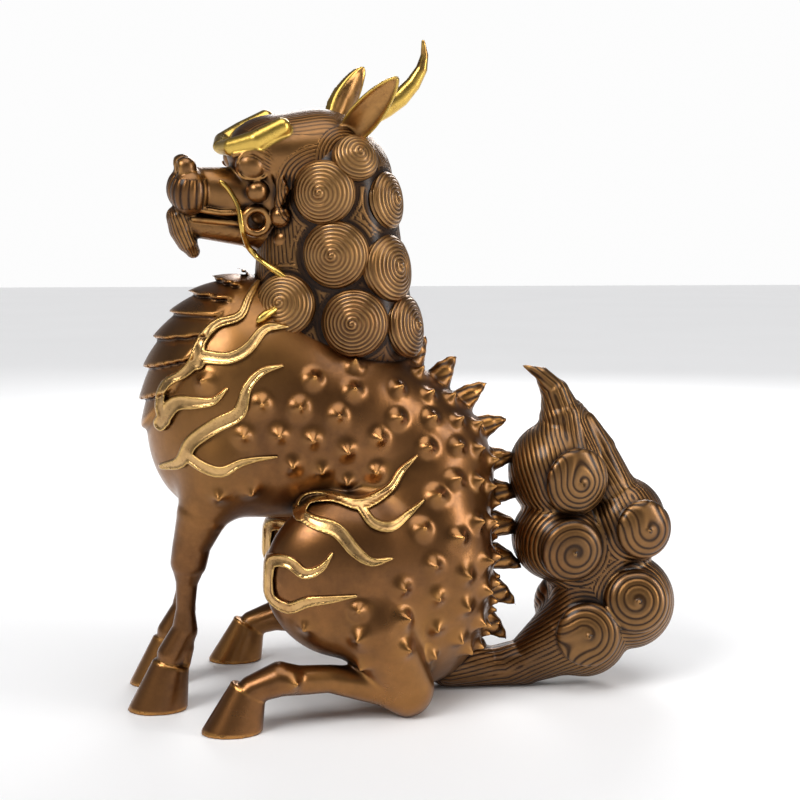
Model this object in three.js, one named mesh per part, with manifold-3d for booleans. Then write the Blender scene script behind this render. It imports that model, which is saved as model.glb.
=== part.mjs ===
// A seated xiezhi, the one-horned guardian beast, cast in one piece in brown brass.
//
// It sits on its haunches like a dog, facing -X, on hooved feet, with its head turned a little towards -Y.
// Plates cover its chest, knobs its sides, thorns its back, and coiled locks of hair its neck and tail.
// The flesh is modelled as a distance field: each form is a function of a point that gives the distance to its
// surface, negative inside, and forms melt into each other as clay does. The field is then skinned with
// triangles, thinned out where the surface is plain, and cut off flat at the ground.
// Units are millimetres, +Z up, origin under the middle of the figure.
import * as THREE from "three";
import Module from "manifold-3d";

// Driving dimensions
const HEIGHT = 300; // ground to the tip of the horn
const CELL = 1.9; // spacing of the samples that the skin is drawn through
const TRIANGLES = 9750; // what the skin is thinned to
const HAIR_LINE = 195; // above it, on the face and the horn, detail is kept
const FACE_WORTH = 3; // this much longer
const CENTRE = new THREE.Vector3(1.9, 0, 0); // the middle of the footprint, in the sculptor's own coordinates
const SIDES = [-1, 1]; // the half towards -Y, and its mirror image

const HEAD_PIVOT = new THREE.Vector3(-35, 0, 240);
const HEAD_TURN = THREE.MathUtils.degToRad(12); // the face turns towards -Y
const HEAD_TILT = THREE.MathUtils.degToRad(11); // and its -Y side dips

const PLATE_STEP = THREE.MathUtils.degToRad(8); // one chest plate, seen from where their edges would meet
const PLATE_RISE = 3.4; // how far the lower edge of a plate stands off the chest
const RIBBON_RISE = 1.7; // how far a flame stands off the flank
const THORN_PITCH = 15.8; // along the ridge of the back
const THORN_LENGTH = 13;
const FORELEG_STEP = 2.5; // the foreleg on the +Y side stands this much further forward

const { sin, cos, abs, min, max, hypot, sqrt, floor, atan2, PI } = Math;
const { clamp, lerp, smoothstep } = THREE.MathUtils;
const V = (x, y, z) => new THREE.Vector3(x, y, z);

// Ways to shape and join forms. A form is a function (x, y, z) => distance.

/** Joins two distances with a fillet of about k. */
function melt(a, b, k) {
  const h = max(k - abs(a - b), 0) / k;
  return min(a, b) - h * h * k * 0.25;
}

/** An egg with the given centre and radii, leaning in the XZ plane. */
function egg([cx, cy, cz], [rx, ry, rz], lean = 0) {
  const c = cos(lean);
  const s = sin(lean);
  return (x, y, z) => {
    const dx = (x - cx) * c + (z - cz) * s;
    const dz = (z - cz) * c - (x - cx) * s;
    const dy = y - cy;
    const k0 = hypot(dx / rx, dy / ry, dz / rz);
    const k1 = hypot(dx / (rx * rx), dy / (ry * ry), dz / (rz * rz));
    return k1 < 1e-9 ? -min(rx, ry, rz) : (k0 * (k0 - 1)) / k1;
  };
}

/** A tapering limb through stations [x, y, z, radius], wider across than it is deep by the factor wide. */
function limb(stations, wide = 1) {
  const bones = stations.slice(1).map((end, i) => {
    const start = stations[i];
    const along = [end[0] - start[0], (end[1] - start[1]) / wide, end[2] - start[2]];
    return { start, end, along, square: along[0] ** 2 + along[1] ** 2 + along[2] ** 2 };
  });
  return (x, y, z) => {
    let nearest = Infinity;
    for (const { start, end, along, square } of bones) {
      const dx = x - start[0];
      const dy = (y - start[1]) / wide;
      const dz = z - start[2];
      const t = clamp((dx * along[0] + dy * along[1] + dz * along[2]) / square, 0, 1);
      const away = hypot(dx - along[0] * t, dy - along[1] * t, dz - along[2] * t);
      nearest = min(nearest, away - lerp(start[3], end[3], t));
    }
    return nearest;
  };
}

/** Forms joined with one fillet. */
function blend(forms, k) {
  return (x, y, z) => {
    let d = forms[0](x, y, z);
    for (let i = 1; i < forms.length; i++) d = melt(d, forms[i](x, y, z), k);
    return d;
  };
}

/** A form made on the +Y side, and its mirror image. */
const pair = (form) => (x, y, z) => form(x, abs(y), z);

/** Leaves a form out where it is too far off to matter, which keeps hundreds of small forms quick. */
function local(form, centre, reach) {
  return { form, centre, reach };
}

/** Joins small local forms to a base form. */
function dress(base, details, k) {
  return (x, y, z) => {
    let d = base(x, y, z);
    for (const { form, centre, reach } of details) {
      const dx = x - centre.x;
      const dy = y - centre.y;
      const dz = z - centre.z;
      if (dx * dx + dy * dy + dz * dz < reach * reach) d = melt(d, form(x, y, z), k);
    }
    return d;
  };
}

/** The outward direction of a field's surface. */
function slope(form, p, step = 0.6) {
  return V(
    form(p.x + step, p.y, p.z) - form(p.x - step, p.y, p.z),
    form(p.x, p.y + step, p.z) - form(p.x, p.y - step, p.z),
    form(p.x, p.y, p.z + step) - form(p.x, p.y, p.z - step),
  ).normalize();
}

/** Where a ray from outside first meets a form, or null. */
function strike(form, from, towards, reach) {
  for (let t = 0, i = 0; t < reach && i < 200; i++) {
    const p = from.clone().addScaledVector(towards, t);
    const d = form(p.x, p.y, p.z);
    if (d < 0.05) return p;
    t += max(d * 0.7, 0.05);
  }
  return null;
}

// The beast, part by part, in the sculptor's coordinates

/** Chest, ribs, loins and rump. */
function makeTorso() {
  return blend(
    [
      egg([-74, 0, 145], [41.5, 35, 43]),
      egg([-69, 0, 160], [31, 28, 35]),
      egg([-80.5, 0, 119.5], [34, 33, 34]),
      pair(egg([-66, 17, 132], [33, 22, 42])),
      egg([-33, 0, 127], [50, 40, 45]),
      egg([3, 0, 97], [41, 37, 50], -0.12),
      egg([5.5, 0, 45], [36, 38, 43]),
      pair(egg([6, 24, 66], [33, 26, 42])),
    ],
    14,
  );
}

/** Thigh, folded shank and the foot that lies along the ground. */
function makeHindLeg() {
  const thigh = egg([-26, 38, 64], [38, 20, 37]);
  const shank = limb([
    [-16, 44, 42, 17],
    [-1, 39.5, 14, 12],
  ]);
  const foot = limb([
    [-1, 39, 10.6, 11.1],
    [-13, 41, 14, 8.2],
    [-36, 46, 20, 6.1],
    [-50, 50, 21, 6.5],
    [-58, 52, 22.5, 7.6],
    [-70, 53, 18.5, 6.2],
  ]);
  const haunch = blend([thigh, shank], 7);
  const hoof = makeHoof(V(-79, 53, 0), V(-72.5, 52.5, 18), 0.5);
  return pair((x, y, z) => melt(melt(haunch(x, y, z), foot(x, y, z), 3), hoof(x, y, z), 1.5));
}

/** Shoulder, knee, cannon and pastern of a straight foreleg. */
function makeForeleg() {
  const leg = limb([
    [-80, 22, 112, 20],
    [-91, 22, 90, 11.5],
    [-96, 21, 76, 8.6],
    [-97.5, 20.5, 68, 8.2],
    [-98.6, 20, 58, 4.9],
    [-99.4, 19.5, 46, 4.3],
    [-100, 19, 36, 5.9],
    [-106, 19, 25, 6.6],
  ]);
  const tuft = limb([
    [-100, 19.5, 36, 3.6],
    [-99.2, 19.5, 28, 3.4],
    [-99.4, 19.5, 21, 2],
  ]);
  const hoof = makeHoof(V(-112.8, 19.5, 0), V(-107, 19.5, 20.5), 0.25);
  const limbOf = pair((x, y, z) => melt(melt(leg(x, y, z), tuft(x, y, z), 2), hoof(x, y, z), 1.5));
  return (x, y, z) => limbOf(y > 0 ? x + FORELEG_STEP * smoothstep(110 - z, 0, 90) : x, y, z);
}

/** A hoof as a leaning cone between its sole and its coronet, which slopes down to the heel. */
function makeHoof(sole, coronet, fall) {
  const soleRadius = 13.6;
  const coronetRadius = 8.8;
  const narrow = 1.32; // length to width
  const depth = 2; // it runs on below the ground, where it is cut off
  return (x, y, z) => {
    const t = clamp((z - sole.z) / (coronet.z - sole.z), -1, 1.2);
    const dx = x - lerp(sole.x, coronet.x, t);
    const dy = (y - lerp(sole.y, coronet.y, t)) * narrow;
    const wall = (hypot(dx, dy) - lerp(soleRadius, coronetRadius, t)) * 0.85;
    const top = (z - (coronet.z + 1 - fall * dx)) * 0.9;
    return max(wall, top, -z - depth);
  };
}

/** How far up the chest a point lies, counted in plates from the throat down. */
function plateCount(x, z) {
  const meeting = { x: -30, z: 178 }; // the plates' edges all point at it
  const topPlate = THREE.MathUtils.degToRad(24.3);
  return (topPlate - atan2(z - meeting.z, -(x - meeting.x))) / PLATE_STEP;
}

/** The chest plates as a rise of the skin, growing towards each plate's lower edge and dropping off under it. */
function plateRise(x, y, z) {
  const edge = -70 - (197 - z) * 0.68; // the plates give way to the shoulder behind this line
  const inside = smoothstep(edge + 3 - x, 0, 6) * smoothstep(z, 96, 108) * smoothstep(206 - z, 0, 5);
  if (inside === 0) return 0;
  const count = plateCount(x, z);
  const part = count - floor(count);
  return inside * PLATE_RISE * (part < 0.9 ? part / 0.9 : (1 - part) / 0.1);
}

/** Neck under the hair, from the shoulders to the skull. */
function makeNeck() {
  return blend(
    [
      limb([
        [-48, 0, 160, 27],
        [-44, 0, 190, 23],
        [-42, 0, 225, 22],
      ]),
      limb(
        [
          [-18, 0, 170, 25],
          [-23.5, 0, 205, 24.5],
          [-29, 0, 238, 25.5],
        ],
        1.15,
      ),
    ],
    8,
  );
}

/** Everything that turns with the head, in the head's own upright coordinates. */
function makeHead() {
  const skull = blend(
    [
      egg([-55.5, 0, 250.5], [24, 22.5, 17]),
      egg([-38, 0, 248], [25, 24, 22.5]),
      egg([-60, 0, 232], [17, 17.5, 22]),
      egg([-54, 0, 213], [13, 15, 13]),
    ],
    5,
  );
  const muzzle = blend(
    [
      limb([
        [-70, 0, 231, 13],
        [-92, 0, 234, 9.5],
      ]),
      pair(egg([-96.5, 5.5, 233], [8.8, 8, 10])),
      pair(egg([-98.5, 4.2, 244], [4.8, 4.8, 4.6])),
      limb(
        [
          [-66, 0, 216, 8.5],
          [-90, 0, 218, 6.3],
          [-100, 0, 221, 5],
        ],
        1.2,
      ),
    ],
    2.2,
  );
  const beard = limb(
    [
      [-101.2, 0, 221.5, 4.8],
      [-99.6, 0, 215.5, 5.1],
      [-96.6, 0, 210, 4.6],
      [-94, 0, 206, 3.2],
    ],
    1.5,
  );
  const brow = pair(
    limb([
      [-82.5, 2, 252.5, 3],
      [-79.5, 10, 253.8, 4],
      [-70, 16, 257.5, 4.6],
      [-59, 16, 263.5, 4.2],
    ]),
  );
  const eye = pair(egg([-71.5, 14, 246.5], [7, 6.5, 6.6]));
  const lid = pair(
    limb([
      [-79, 14, 251, 1.4],
      [-71, 18.5, 253.6, 1.9],
      [-61.5, 20, 248, 1.5],
    ]),
  );
  const knobs = [
    [-69, 16.5, 235.7, 5],
    [-58.3, 17.5, 224.8, 5],
    [-50, 18.5, 221, 4.6],
    [-55.7, 15.5, 214, 5.4],
  ].map(([x, y, z, r]) => pair(egg([x, y, z], [r, r, r])));
  const cheekRidge = pair(
    limb([
      [-61, 19.2, 244, 2],
      [-58.6, 20.5, 237, 2.9],
      [-60, 19.2, 230.5, 2],
    ]),
  );
  const scroll = pair((x, y, z) => {
    const around = hypot(x + 69, z - 222.6) - 5.4;
    return hypot(around, (y - 15.5) * 0.7) - 1.9;
  });
  const face = blend([skull, muzzle, beard, brow, lid], 2);
  const cast = blend([face, eye, ...knobs, cheekRidge, scroll], 1);
  return blend([cast, makeEars(), makeHorn()], 2.5);
}

/** Two leaf-shaped ears, hollow towards the sides. */
function makeEars() {
  const root = V(-27, 14, 262);
  const tip = V(-12, 29, 287);
  const along = tip.clone().sub(root);
  const length = along.length();
  along.normalize();
  const hollowSide = V(-0.35, 0.85, -0.1).cross(along).cross(along).negate().normalize();
  const across = hollowSide.clone().cross(along);
  const bend = 7; // radius that the leaf is rolled to
  return pair((x, y, z) => {
    const p = V(x, y, z).sub(root);
    const t = p.dot(along) / length;
    const u = p.dot(across);
    const w = p.dot(hollowSide);
    const half = 7.6 * sqrt(max(sin(PI * clamp(0.18 + 0.82 * t, 0, 1)), 0)) * (1 - 0.25 * t);
    const leaf = abs(w - (u * u) / (2 * bend) + 2) - lerp(2, 1, clamp(t, 0, 1));
    return max(leaf, abs(u) - half, -t * length - 3, t * length - length) * 0.85;
  });
}

/** The single horn, sweeping back and then up. */
function makeHorn() {
  return limb([
    [-24, 0, 263, 5],
    [-7.5, 0, 271.7, 4.6],
    [-0.7, 0, 276.3, 4.2],
    [5, 0, 282.6, 3.5],
    [8.8, 0, 289.5, 2.7],
    [9.8, 0, 295.5, 1.8],
    [8.8, 0, 301.6, 0.9],
  ]);
}

/** A coiled lock: a low dome with a groove winding in to its button. */
function makeCoil(centre, outward, radius, height) {
  const right = V(0, 0, 1).cross(outward).normalize();
  const up = outward.clone().cross(right);
  const pitch = radius / 2.1;
  const groove = 1.3;
  const form = (x, y, z) => {
    const p = V(x, y, z).sub(centre);
    const w = p.dot(outward);
    const u = p.dot(right);
    const v = p.dot(up);
    const away = hypot(u, v);
    const turn = away / pitch - atan2(v, u) / (2 * PI);
    const wave = 0.5 + 0.5 * cos(2 * PI * turn);
    const k0 = hypot(away / radius, w / height);
    const k1 = hypot(away / (radius * radius), w / (height * height));
    const dome = k1 < 1e-9 ? -height : (k0 * (k0 - 1)) / k1;
    return dome + groove * wave * smoothstep(away, 1, pitch);
  };
  return local(form, centre, radius + height);
}

/** Locks on the neck: [turn from the side towards the back in degrees, height, radius]. */
const NECK_LOCKS = [
  [-8, 232, 15],
  [24, 247, 11],
  [56, 229, 13.5],
  [-6, 205, 16],
  [47, 199, 16],
  [-52, 183, 15],
  [2, 175, 16],
  [58, 173, 15],
];

/** Hair on the neck, with its locks set square on the surface. */
function makeMane(neck) {
  const coils = [];
  for (const side of SIDES) {
    for (const [degrees, height, radius] of NECK_LOCKS) {
      const turn = THREE.MathUtils.degToRad(degrees);
      const towards = V(-sin(turn), -side * cos(turn), 0);
      const axis = V(lerp(-24, -34, clamp((height - 172) / 68, 0, 1)), 0, height);
      const seat = strike(neck, axis.addScaledVector(towards, -70), towards, 90);
      if (seat) coils.push(makeCoil(seat, slope(neck, seat), radius, degrees > 40 ? 5.5 : 7));
    }
  }
  return dress(neck, coils, 1.2);
}

/** Brush of the tail: it leaves the rump along the ground, swells into locks and ends in a flame-like tip. */
function makeTail() {
  const stem = limb([
    [24, 0, 12, 12.4],
    [44, 0, 8.8, 9.4],
    [60, 0, 10.6, 11.2],
    [76, 0, 20, 17],
  ]);
  const brush = blend(
    [
      egg([89, 0, 26.5], [22, 21, 23.5]),
      egg([83, 12, 36], [16, 12, 16]),
      egg([110.5, 0, 39], [22, 20, 23]),
      egg([75.5, 0, 71], [22, 23, 21]),
      egg([107.5, 0, 77.5], [20, 20, 22]),
      egg([93, 0, 56], [22, 17, 34]),
      egg([73.5, 0, 103], [22, 21, 24]),
    ],
    5,
  );
  const tip = limb([
    [80, 0, 112, 15],
    [77, 0, 128, 11],
    [73.5, 0, 140, 7],
    [67, 0, 149, 3.6],
    [58.5, 0, 153, 0.8],
  ]);
  const crest = limb([
    [98, 0, 98, 13],
    [95, 0, 113, 8],
    [88, 0, 126, 5.5],
    [84, 0, 133, 2.5],
  ]);
  const hair = blend([stem, brush, tip, crest], 4);
  const coils = [];
  for (const side of SIDES) {
    for (const [x, z, radius] of TAIL_LOCKS) {
      const seat = strike(hair, V(x, side * 70, z), V(0, -side, 0), 90);
      if (seat) coils.push(makeCoil(seat, slope(hair, seat), radius, 5.5));
    }
  }
  return dress(hair, coils, 1.5);
}

/** Locks on the tail: [x, height, radius]. */
const TAIL_LOCKS = [
  [80, 101, 16],
  [77, 69.5, 15],
  [112, 78, 14],
  [86, 29, 15],
  [109, 44, 15],
];

/** The ridge of the back, from the hair down to the tail. */
const RIDGE = new THREE.CatmullRomCurve3([
  V(-3, 0, 166),
  V(6, 0, 158),
  V(18, 0, 149),
  V(30, 0, 138),
  V(38, 0, 125),
  V(43, 0, 109),
  V(46, 0, 90),
  V(47, 0, 72),
  V(46, 0, 54),
  V(43, 0, 37),
  V(38, 0, 18),
  V(33, 0, 6),
]);

/** Thorns along the ridge, and how they lean from the square of it. */
function makeThorns() {
  const length = RIDGE.getLength();
  const first = 12.4;
  const thorns = [];
  for (let along = first; along < length - 6; along += THORN_PITCH) {
    const u = along / length;
    const foot = RIDGE.getPointAt(u);
    const down = RIDGE.getTangentAt(u);
    const out = V(-down.z, 0, down.x);
    const lean = lerp(-0.15, 0.6, u);
    const aim = out.multiplyScalar(cos(lean)).addScaledVector(down, sin(lean));
    const size = lerp(0.85, 1, smoothstep(u, 0, 0.25)) * THORN_LENGTH;
    const at = (t, r, bow = 0) => {
      const p = foot.clone().addScaledVector(aim, t * size).addScaledVector(down, -bow);
      return [p.x, 0, p.z, r];
    };
    const form = limb([at(-0.2, 6.8), at(0.25, 5, 0.6), at(0.68, 2.8, 0.6), at(0.98, 0.6)], 0.8);
    thorns.push(local(form, foot, size + 9));
  }
  return thorns;
}

/** Flames on the shoulder and the haunch, as seen from the side: stations [x, z, half width]. */
const FLAMES = [
  {
    y: 12,
    path: [
      [-62, 198, 0.8], [-69, 187, 1.8], [-73, 179, 2], [-84, 175, 2.2], [-90.5, 167, 2.5],
      [-92, 159, 3.6],
    ],
  },
  {
    y: 12,
    path: [
      [-90, 161.5, 3], [-78, 161, 2.7], [-70, 165, 2.6], [-62, 173.5, 2.1], [-52, 174, 0.9],
    ],
  },
  {
    y: 5,
    path: [
      [-91, 161, 3.2], [-98, 154, 2.4], [-106, 149, 2.2], [-109, 140, 2.4], [-107, 133, 3.2],
    ],
  },
  {
    y: 5,
    path: [
      [-109, 131, 3.4], [-102, 140.5, 3.4], [-93, 141.5, 2.8], [-85, 142.5, 1.9], [-79, 148, 0.7],
    ],
  },
  {
    y: 5,
    path: [
      [-109, 111, 1.6], [-100, 115, 2.8], [-95, 124, 3.2], [-84, 132, 3.4], [-74, 137.5, 3.2],
      [-70.5, 148, 2.2], [-64, 155, 1.8], [-55, 157.5, 0.7],
    ],
  },
  {
    y: 5,
    path: [
      [-98, 119, 2.6], [-90, 114, 2.6], [-82, 112, 2.6], [-73, 116, 1.8], [-58, 118, 0.7],
    ],
  },
  {
    y: 20,
    path: [
      [-49, 93, 2.4], [-45, 99, 2.2], [-34, 100.5, 1.8], [-22, 98, 2.4], [-9, 103, 2],
      [-3, 111, 1.6], [4, 117, 0.6],
    ],
  },
  {
    y: 20,
    path: [
      [-22, 97, 2.2], [-17, 90.5, 2.2], [-9, 88.5, 2.2], [-1, 93, 1.6], [6, 98.5, 0.6],
    ],
  },
  {
    y: 20,
    path: [
      [-49, 94, 2.4], [-43, 91, 2.8], [-33, 88, 3.2], [-25, 79, 2.8], [-18, 74.5, 2],
      [-9, 75.5, 0.7],
    ],
  },
  {
    y: 20,
    path: [
      [-62.5, 65, 2.2], [-61, 73, 2.6], [-54, 74, 2.8], [-47, 69.5, 2.5], [-40, 72, 1.8],
      [-35, 78.5, 0.7],
    ],
  },
  {
    y: 20,
    path: [
      [-62.5, 66, 2.2], [-61.5, 57, 2.6], [-54, 53.5, 2.8], [-46, 57, 2.5], [-36, 58.5, 1.8],
      [-25, 60, 0.7],
    ],
  },
];

/** Raises the flames off a form: each is a band that follows the surface. */
function raiseFlames(flesh) {
  const bands = FLAMES.map(({ y, path }) => {
    const curve = new THREE.CatmullRomCurve3(path.map(([x, z, half]) => V(x, half, z)));
    const points = curve.getPoints(path.length * 3);
    const box = new THREE.Box3().setFromPoints(points).expandByScalar(8);
    return { least: y, points, box };
  });
  return (x, y, z) => {
    const d = flesh(x, y, z);
    if (d > 6) return d;
    let nearest = Infinity;
    for (const { least, points, box } of bands) {
      if (abs(y) < least || x < box.min.x || x > box.max.x || z < box.min.z || z > box.max.z) continue;
      for (let i = 1; i < points.length; i++) {
        const a = points[i - 1];
        const b = points[i];
        const ux = b.x - a.x;
        const uz = b.z - a.z;
        const t = clamp(((x - a.x) * ux + (z - a.z) * uz) / (ux * ux + uz * uz), 0, 1);
        nearest = min(nearest, hypot(x - a.x - ux * t, z - a.z - uz * t) - lerp(a.y, b.y, t));
      }
    }
    return melt(d, max(nearest, d - RIBBON_RISE), 0.4);
  };
}

/** Where a knob would sit on hair, plates, a flame or the underside, it is left out. */
function isBare(p, facing) {
  const onPlates = p.x < -66 - (197 - p.z) * 0.68;
  const underHair = p.z > lerp(163, 150, clamp((p.x + 50) / 70, 0, 1));
  const underneath = p.z < 22 || facing.z < -0.72 || (p.x < -84 && p.z < 92);
  const inside = abs(p.y) < 8 && p.x < 0;
  return !(onPlates || underHair || underneath || inside);
}

/** Whether a point, seen from the side, lies on or beside a flame. */
function isOnFlame(p, margin) {
  return FLAMES.some(({ path }) =>
    path.slice(1).some(([x, z, half], i) => {
      const a = path[i];
      const line = new THREE.Line3(V(a[0], 0, a[1]), V(x, 0, z));
      const near = line.closestPointToPoint(V(p.x, 0, p.z), true, V(0, 0, 0));
      return hypot(near.x - p.x, near.z - p.z) < max(half, a[2]) + margin;
    }),
  );
}

/** The line through the trunk that the rows of knobs ring: from the chest over the loins to the rump. */
const TRUNK = new THREE.CatmullRomCurve3([
  V(-88, 0, 116),
  V(-60, 0, 118),
  V(-28, 0, 110),
  V(-6, 0, 84),
  V(0, 0, 50),
  V(0, 0, 18),
]);

/** Rows of knobs over the trunk and haunches: small and close beside the ridge, broad and far apart below. */
function makeKnobs(flesh) {
  const knobs = [];
  const rows = [
    { away: 14, pitch: 10, radius: 3.2, height: 5 },
    { away: 23, pitch: 10.5, radius: 3.3, height: 5 },
    { away: 33, pitch: 12.5, radius: 3.7, height: 5 },
    { away: 46, pitch: 15.5, radius: 4.4, height: 5 },
    { away: 61, pitch: 17, radius: 4.8, height: 5 },
    { away: 77, pitch: 17, radius: 4.8, height: 4.8 },
    { away: 94, pitch: 17, radius: 4.6, height: 4.6 },
    { away: 112, pitch: 17, radius: 4.4, height: 4.4 },
    { away: 132, pitch: 17, radius: 4, height: 4 },
  ];
  const seats = [];
  rows.forEach(({ away, pitch, radius, height }, row) => {
    const angle = THREE.MathUtils.degToRad(away);
    const scale = 1 + 0.35 * sin(angle); // rows ring outside the trunk line, so its length is stretched
    const count = floor((TRUNK.getLength() * scale) / pitch);
    for (let i = 0; i < count; i++) {
      const u = (i + (row % 2 ? 0.25 : 0.75)) / count;
      const middle = TRUNK.getPointAt(u);
      const run = TRUNK.getTangentAt(u);
      const back = V(-run.z, 0, run.x);
      for (const side of SIDES) {
        const out = back.clone().multiplyScalar(cos(angle)).add(V(0, side * sin(angle), 0));
        const seat = strike(flesh, middle.clone().addScaledVector(out, 95), out.clone().negate(), 95);
        if (!seat) continue;
        const facing = slope(flesh, seat);
        const crowded = seats.some((other) => other.distanceTo(seat) < pitch * 0.66);
        if (crowded || !isBare(seat, facing) || isOnFlame(seat, radius - 0.5)) continue;
        seats.push(seat);
        const base = seat.clone().addScaledVector(facing, -1);
        const peak = seat.clone().addScaledVector(facing, height - 1);
        const form = limb([[...base.toArray(), radius], [...peak.toArray(), 0.9]]);
        knobs.push(local(form, seat, radius + height + 4));
      }
    }
  });
  return knobs;
}

/** The whole beast as one field. */
function makeBeast() {
  const torso = makeTorso();
  const hindLeg = makeHindLeg();
  const foreleg = makeForeleg();
  const flesh = (x, y, z) => {
    const trunk = torso(x, y, z);
    const legs = melt(melt(trunk, hindLeg(x, y, z), 6), foreleg(x, y, z), 7);
    return legs - (trunk < 12 ? plateRise(x, y, z) * smoothstep(12 - trunk, 0, 6) : 0);
  };
  const trunk = dress(raiseFlames(flesh), makeKnobs(flesh), 3.4);
  const thorned = dress(trunk, makeThorns(), 1.5);
  const mane = makeMane(makeNeck());
  const head = turnHead(makeHead());
  const tail = makeTail();
  return (x, y, z) => {
    const upper = melt(mane(x, y, z), head(x, y, z), 2);
    return melt(melt(thorned(x, y, z), upper, 2), tail(x, y, z), 2);
  };
}

/** Turns a form made in the head's upright coordinates to where the head looks. */
function turnHead(form) {
  const turned = new THREE.Matrix4()
    .makeTranslation(HEAD_PIVOT.x, HEAD_PIVOT.y, HEAD_PIVOT.z)
    .multiply(new THREE.Matrix4().makeRotationZ(HEAD_TURN))
    .multiply(new THREE.Matrix4().makeRotationX(HEAD_TILT))
    .multiply(new THREE.Matrix4().makeTranslation(-HEAD_PIVOT.x, -HEAD_PIVOT.y, -HEAD_PIVOT.z))
    .invert();
  const e = turned.elements;
  return (x, y, z) =>
    form(
      e[0] * x + e[4] * y + e[8] * z + e[12],
      e[1] * x + e[5] * y + e[9] * z + e[13],
      e[2] * x + e[6] * y + e[10] * z + e[14],
    );
}

// From field to skin

/** Samples a field in a box and returns its zero surface as a closed mesh of quads split in two. */
function skin(field, box, cell) {
  const size = box.getSize(V(0, 0, 0));
  const [nx, ny, nz] = size.toArray().map((length) => Math.ceil(length / cell) + 1);
  const at = (i, j, k) => i + nx * (j + ny * k);
  const values = sample(field, box, cell, [nx, ny, nz]);
  settle(values, [nx, ny, nz], cell);
  const steps = [at(1, 0, 0), at(0, 1, 0), at(0, 0, 1)];
  const corners = Array.from({ length: 8 }, (_, c) => [c & 1, (c >> 1) & 1, (c >> 2) & 1]);
  const edges = [];
  for (let a = 0; a < 8; a++) for (const bit of [1, 2, 4]) if (!(a & bit)) edges.push([a, a | bit]);
  const vertexOf = new Int32Array(nx * ny * nz).fill(-1);
  const positions = [];
  for (let k = 0; k < nz - 1; k++) {
    for (let j = 0; j < ny - 1; j++) {
      for (let i = 0; i < nx - 1; i++) {
        const here = corners.map(([a, b, c]) => values[at(i + a, j + b, k + c)]);
        const inside = here.filter((v) => v < 0).length;
        if (inside === 0 || inside === 8) continue;
        const sum = V(0, 0, 0);
        let crossings = 0;
        for (const [a, b] of edges) {
          if (here[a] < 0 === here[b] < 0) continue;
          const t = here[a] / (here[a] - here[b]);
          sum.x += lerp(corners[a][0], corners[b][0], t);
          sum.y += lerp(corners[a][1], corners[b][1], t);
          sum.z += lerp(corners[a][2], corners[b][2], t);
          crossings++;
        }
        vertexOf[at(i, j, k)] = positions.length;
        positions.push(sum.divideScalar(crossings).add(V(i, j, k)).multiplyScalar(cell).add(box.min));
      }
    }
  }
  const faces = [];
  for (let k = 1; k < nz - 1; k++) {
    for (let j = 1; j < ny - 1; j++) {
      for (let i = 1; i < nx - 1; i++) {
        const n = at(i, j, k);
        for (let axis = 0; axis < 3; axis++) {
          const inside = values[n] < 0;
          if (inside === values[n + steps[axis]] < 0) continue;
          const [u, v] = [steps[(axis + 1) % 3], steps[(axis + 2) % 3]];
          const quad = [n - u - v, n - v, n, n - u].map((m) => vertexOf[m]);
          if (!inside) quad.reverse();
          faces.push([quad[0], quad[1], quad[2]], [quad[0], quad[2], quad[3]]);
        }
      }
    }
  }
  return { positions, faces };
}

/** The field at each grid point. Blocks that the surface can't reach get one value for all their points. */
function sample(field, box, cell, [nx, ny, nz]) {
  const values = new Float32Array(nx * ny * nz);
  const block = 5;
  const reach = block * cell * 1.9;
  for (let k0 = 0; k0 < nz; k0 += block) {
    for (let j0 = 0; j0 < ny; j0 += block) {
      for (let i0 = 0; i0 < nx; i0 += block) {
        const half = (block - 1) / 2;
        const middle = V(i0 + half, j0 + half, k0 + half).multiplyScalar(cell).add(box.min);
        const centre = field(middle.x, middle.y, middle.z);
        for (let k = k0; k < min(k0 + block, nz); k++) {
          for (let j = j0; j < min(j0 + block, ny); j++) {
            for (let i = i0; i < min(i0 + block, nx); i++) {
              const p = V(i, j, k).multiplyScalar(cell).add(box.min);
              values[i + nx * (j + ny * k)] = abs(centre) > reach ? centre : field(p.x, p.y, p.z);
            }
          }
        }
      }
    }
  }
  return values;
}

/** Fills grid points where forms touch at a corner or an edge only, so that the skin never pinches there. */
function settle(values, [nx, ny, nz], cell) {
  const filled = -0.02 * cell;
  const steps = [1, nx, nx * ny];
  const fill = (points) => {
    const open = points.filter((n) => values[n] >= 0);
    const nearest = open.reduce((best, n) => (values[n] < values[best] ? n : best));
    values[nearest] = filled;
  };
  let changed = true;
  while (changed) {
    changed = false;
    for (let k = 0; k < nz - 1; k++) {
      for (let j = 0; j < ny - 1; j++) {
        for (let i = 0; i < nx - 1; i++) {
          const n = i + nx * (j + ny * k);
          for (let axis = 0; axis < 3; axis++) {
            const u = steps[axis];
            const v = steps[(axis + 1) % 3];
            const square = [n, n + u, n + u + v, n + v];
            const [a, b, c, d] = square.map((m) => values[m] < 0);
            if (a !== c || b !== d || a === b) continue;
            fill(square);
            changed = true;
          }
          const corner = (m) => n + (m & 1) * steps[0] + ((m >> 1) & 1) * steps[1] + (m >> 2) * steps[2];
          const cube = [0, 1, 2, 3, 4, 5, 6, 7].map(corner);
          const inside = cube.map((m) => values[m] < 0);
          const count = inside.filter(Boolean).length;
          if (count !== 2 && count !== 6) continue;
          const opposed = [0, 1, 2, 3].some((m) => inside[m] === inside[7 - m] && inside[m] === (count === 2));
          if (!opposed) continue;
          fill(cube);
          changed = true;
        }
      }
    }
  }
}

/** Draws each vertex onto the field's surface, which sharpens what the grid has rounded. */
function tighten(field, positions, cell) {
  for (const p of positions) {
    for (let round = 0; round < 2; round++) {
      const d = field(p.x, p.y, p.z);
      p.addScaledVector(slope(field, p, 0.3), clamp(-d, -0.3 * cell, 0.3 * cell));
    }
  }
}

// Thinning out the skin, by merging the edge whose loss changes the shape least, over and over

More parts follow.
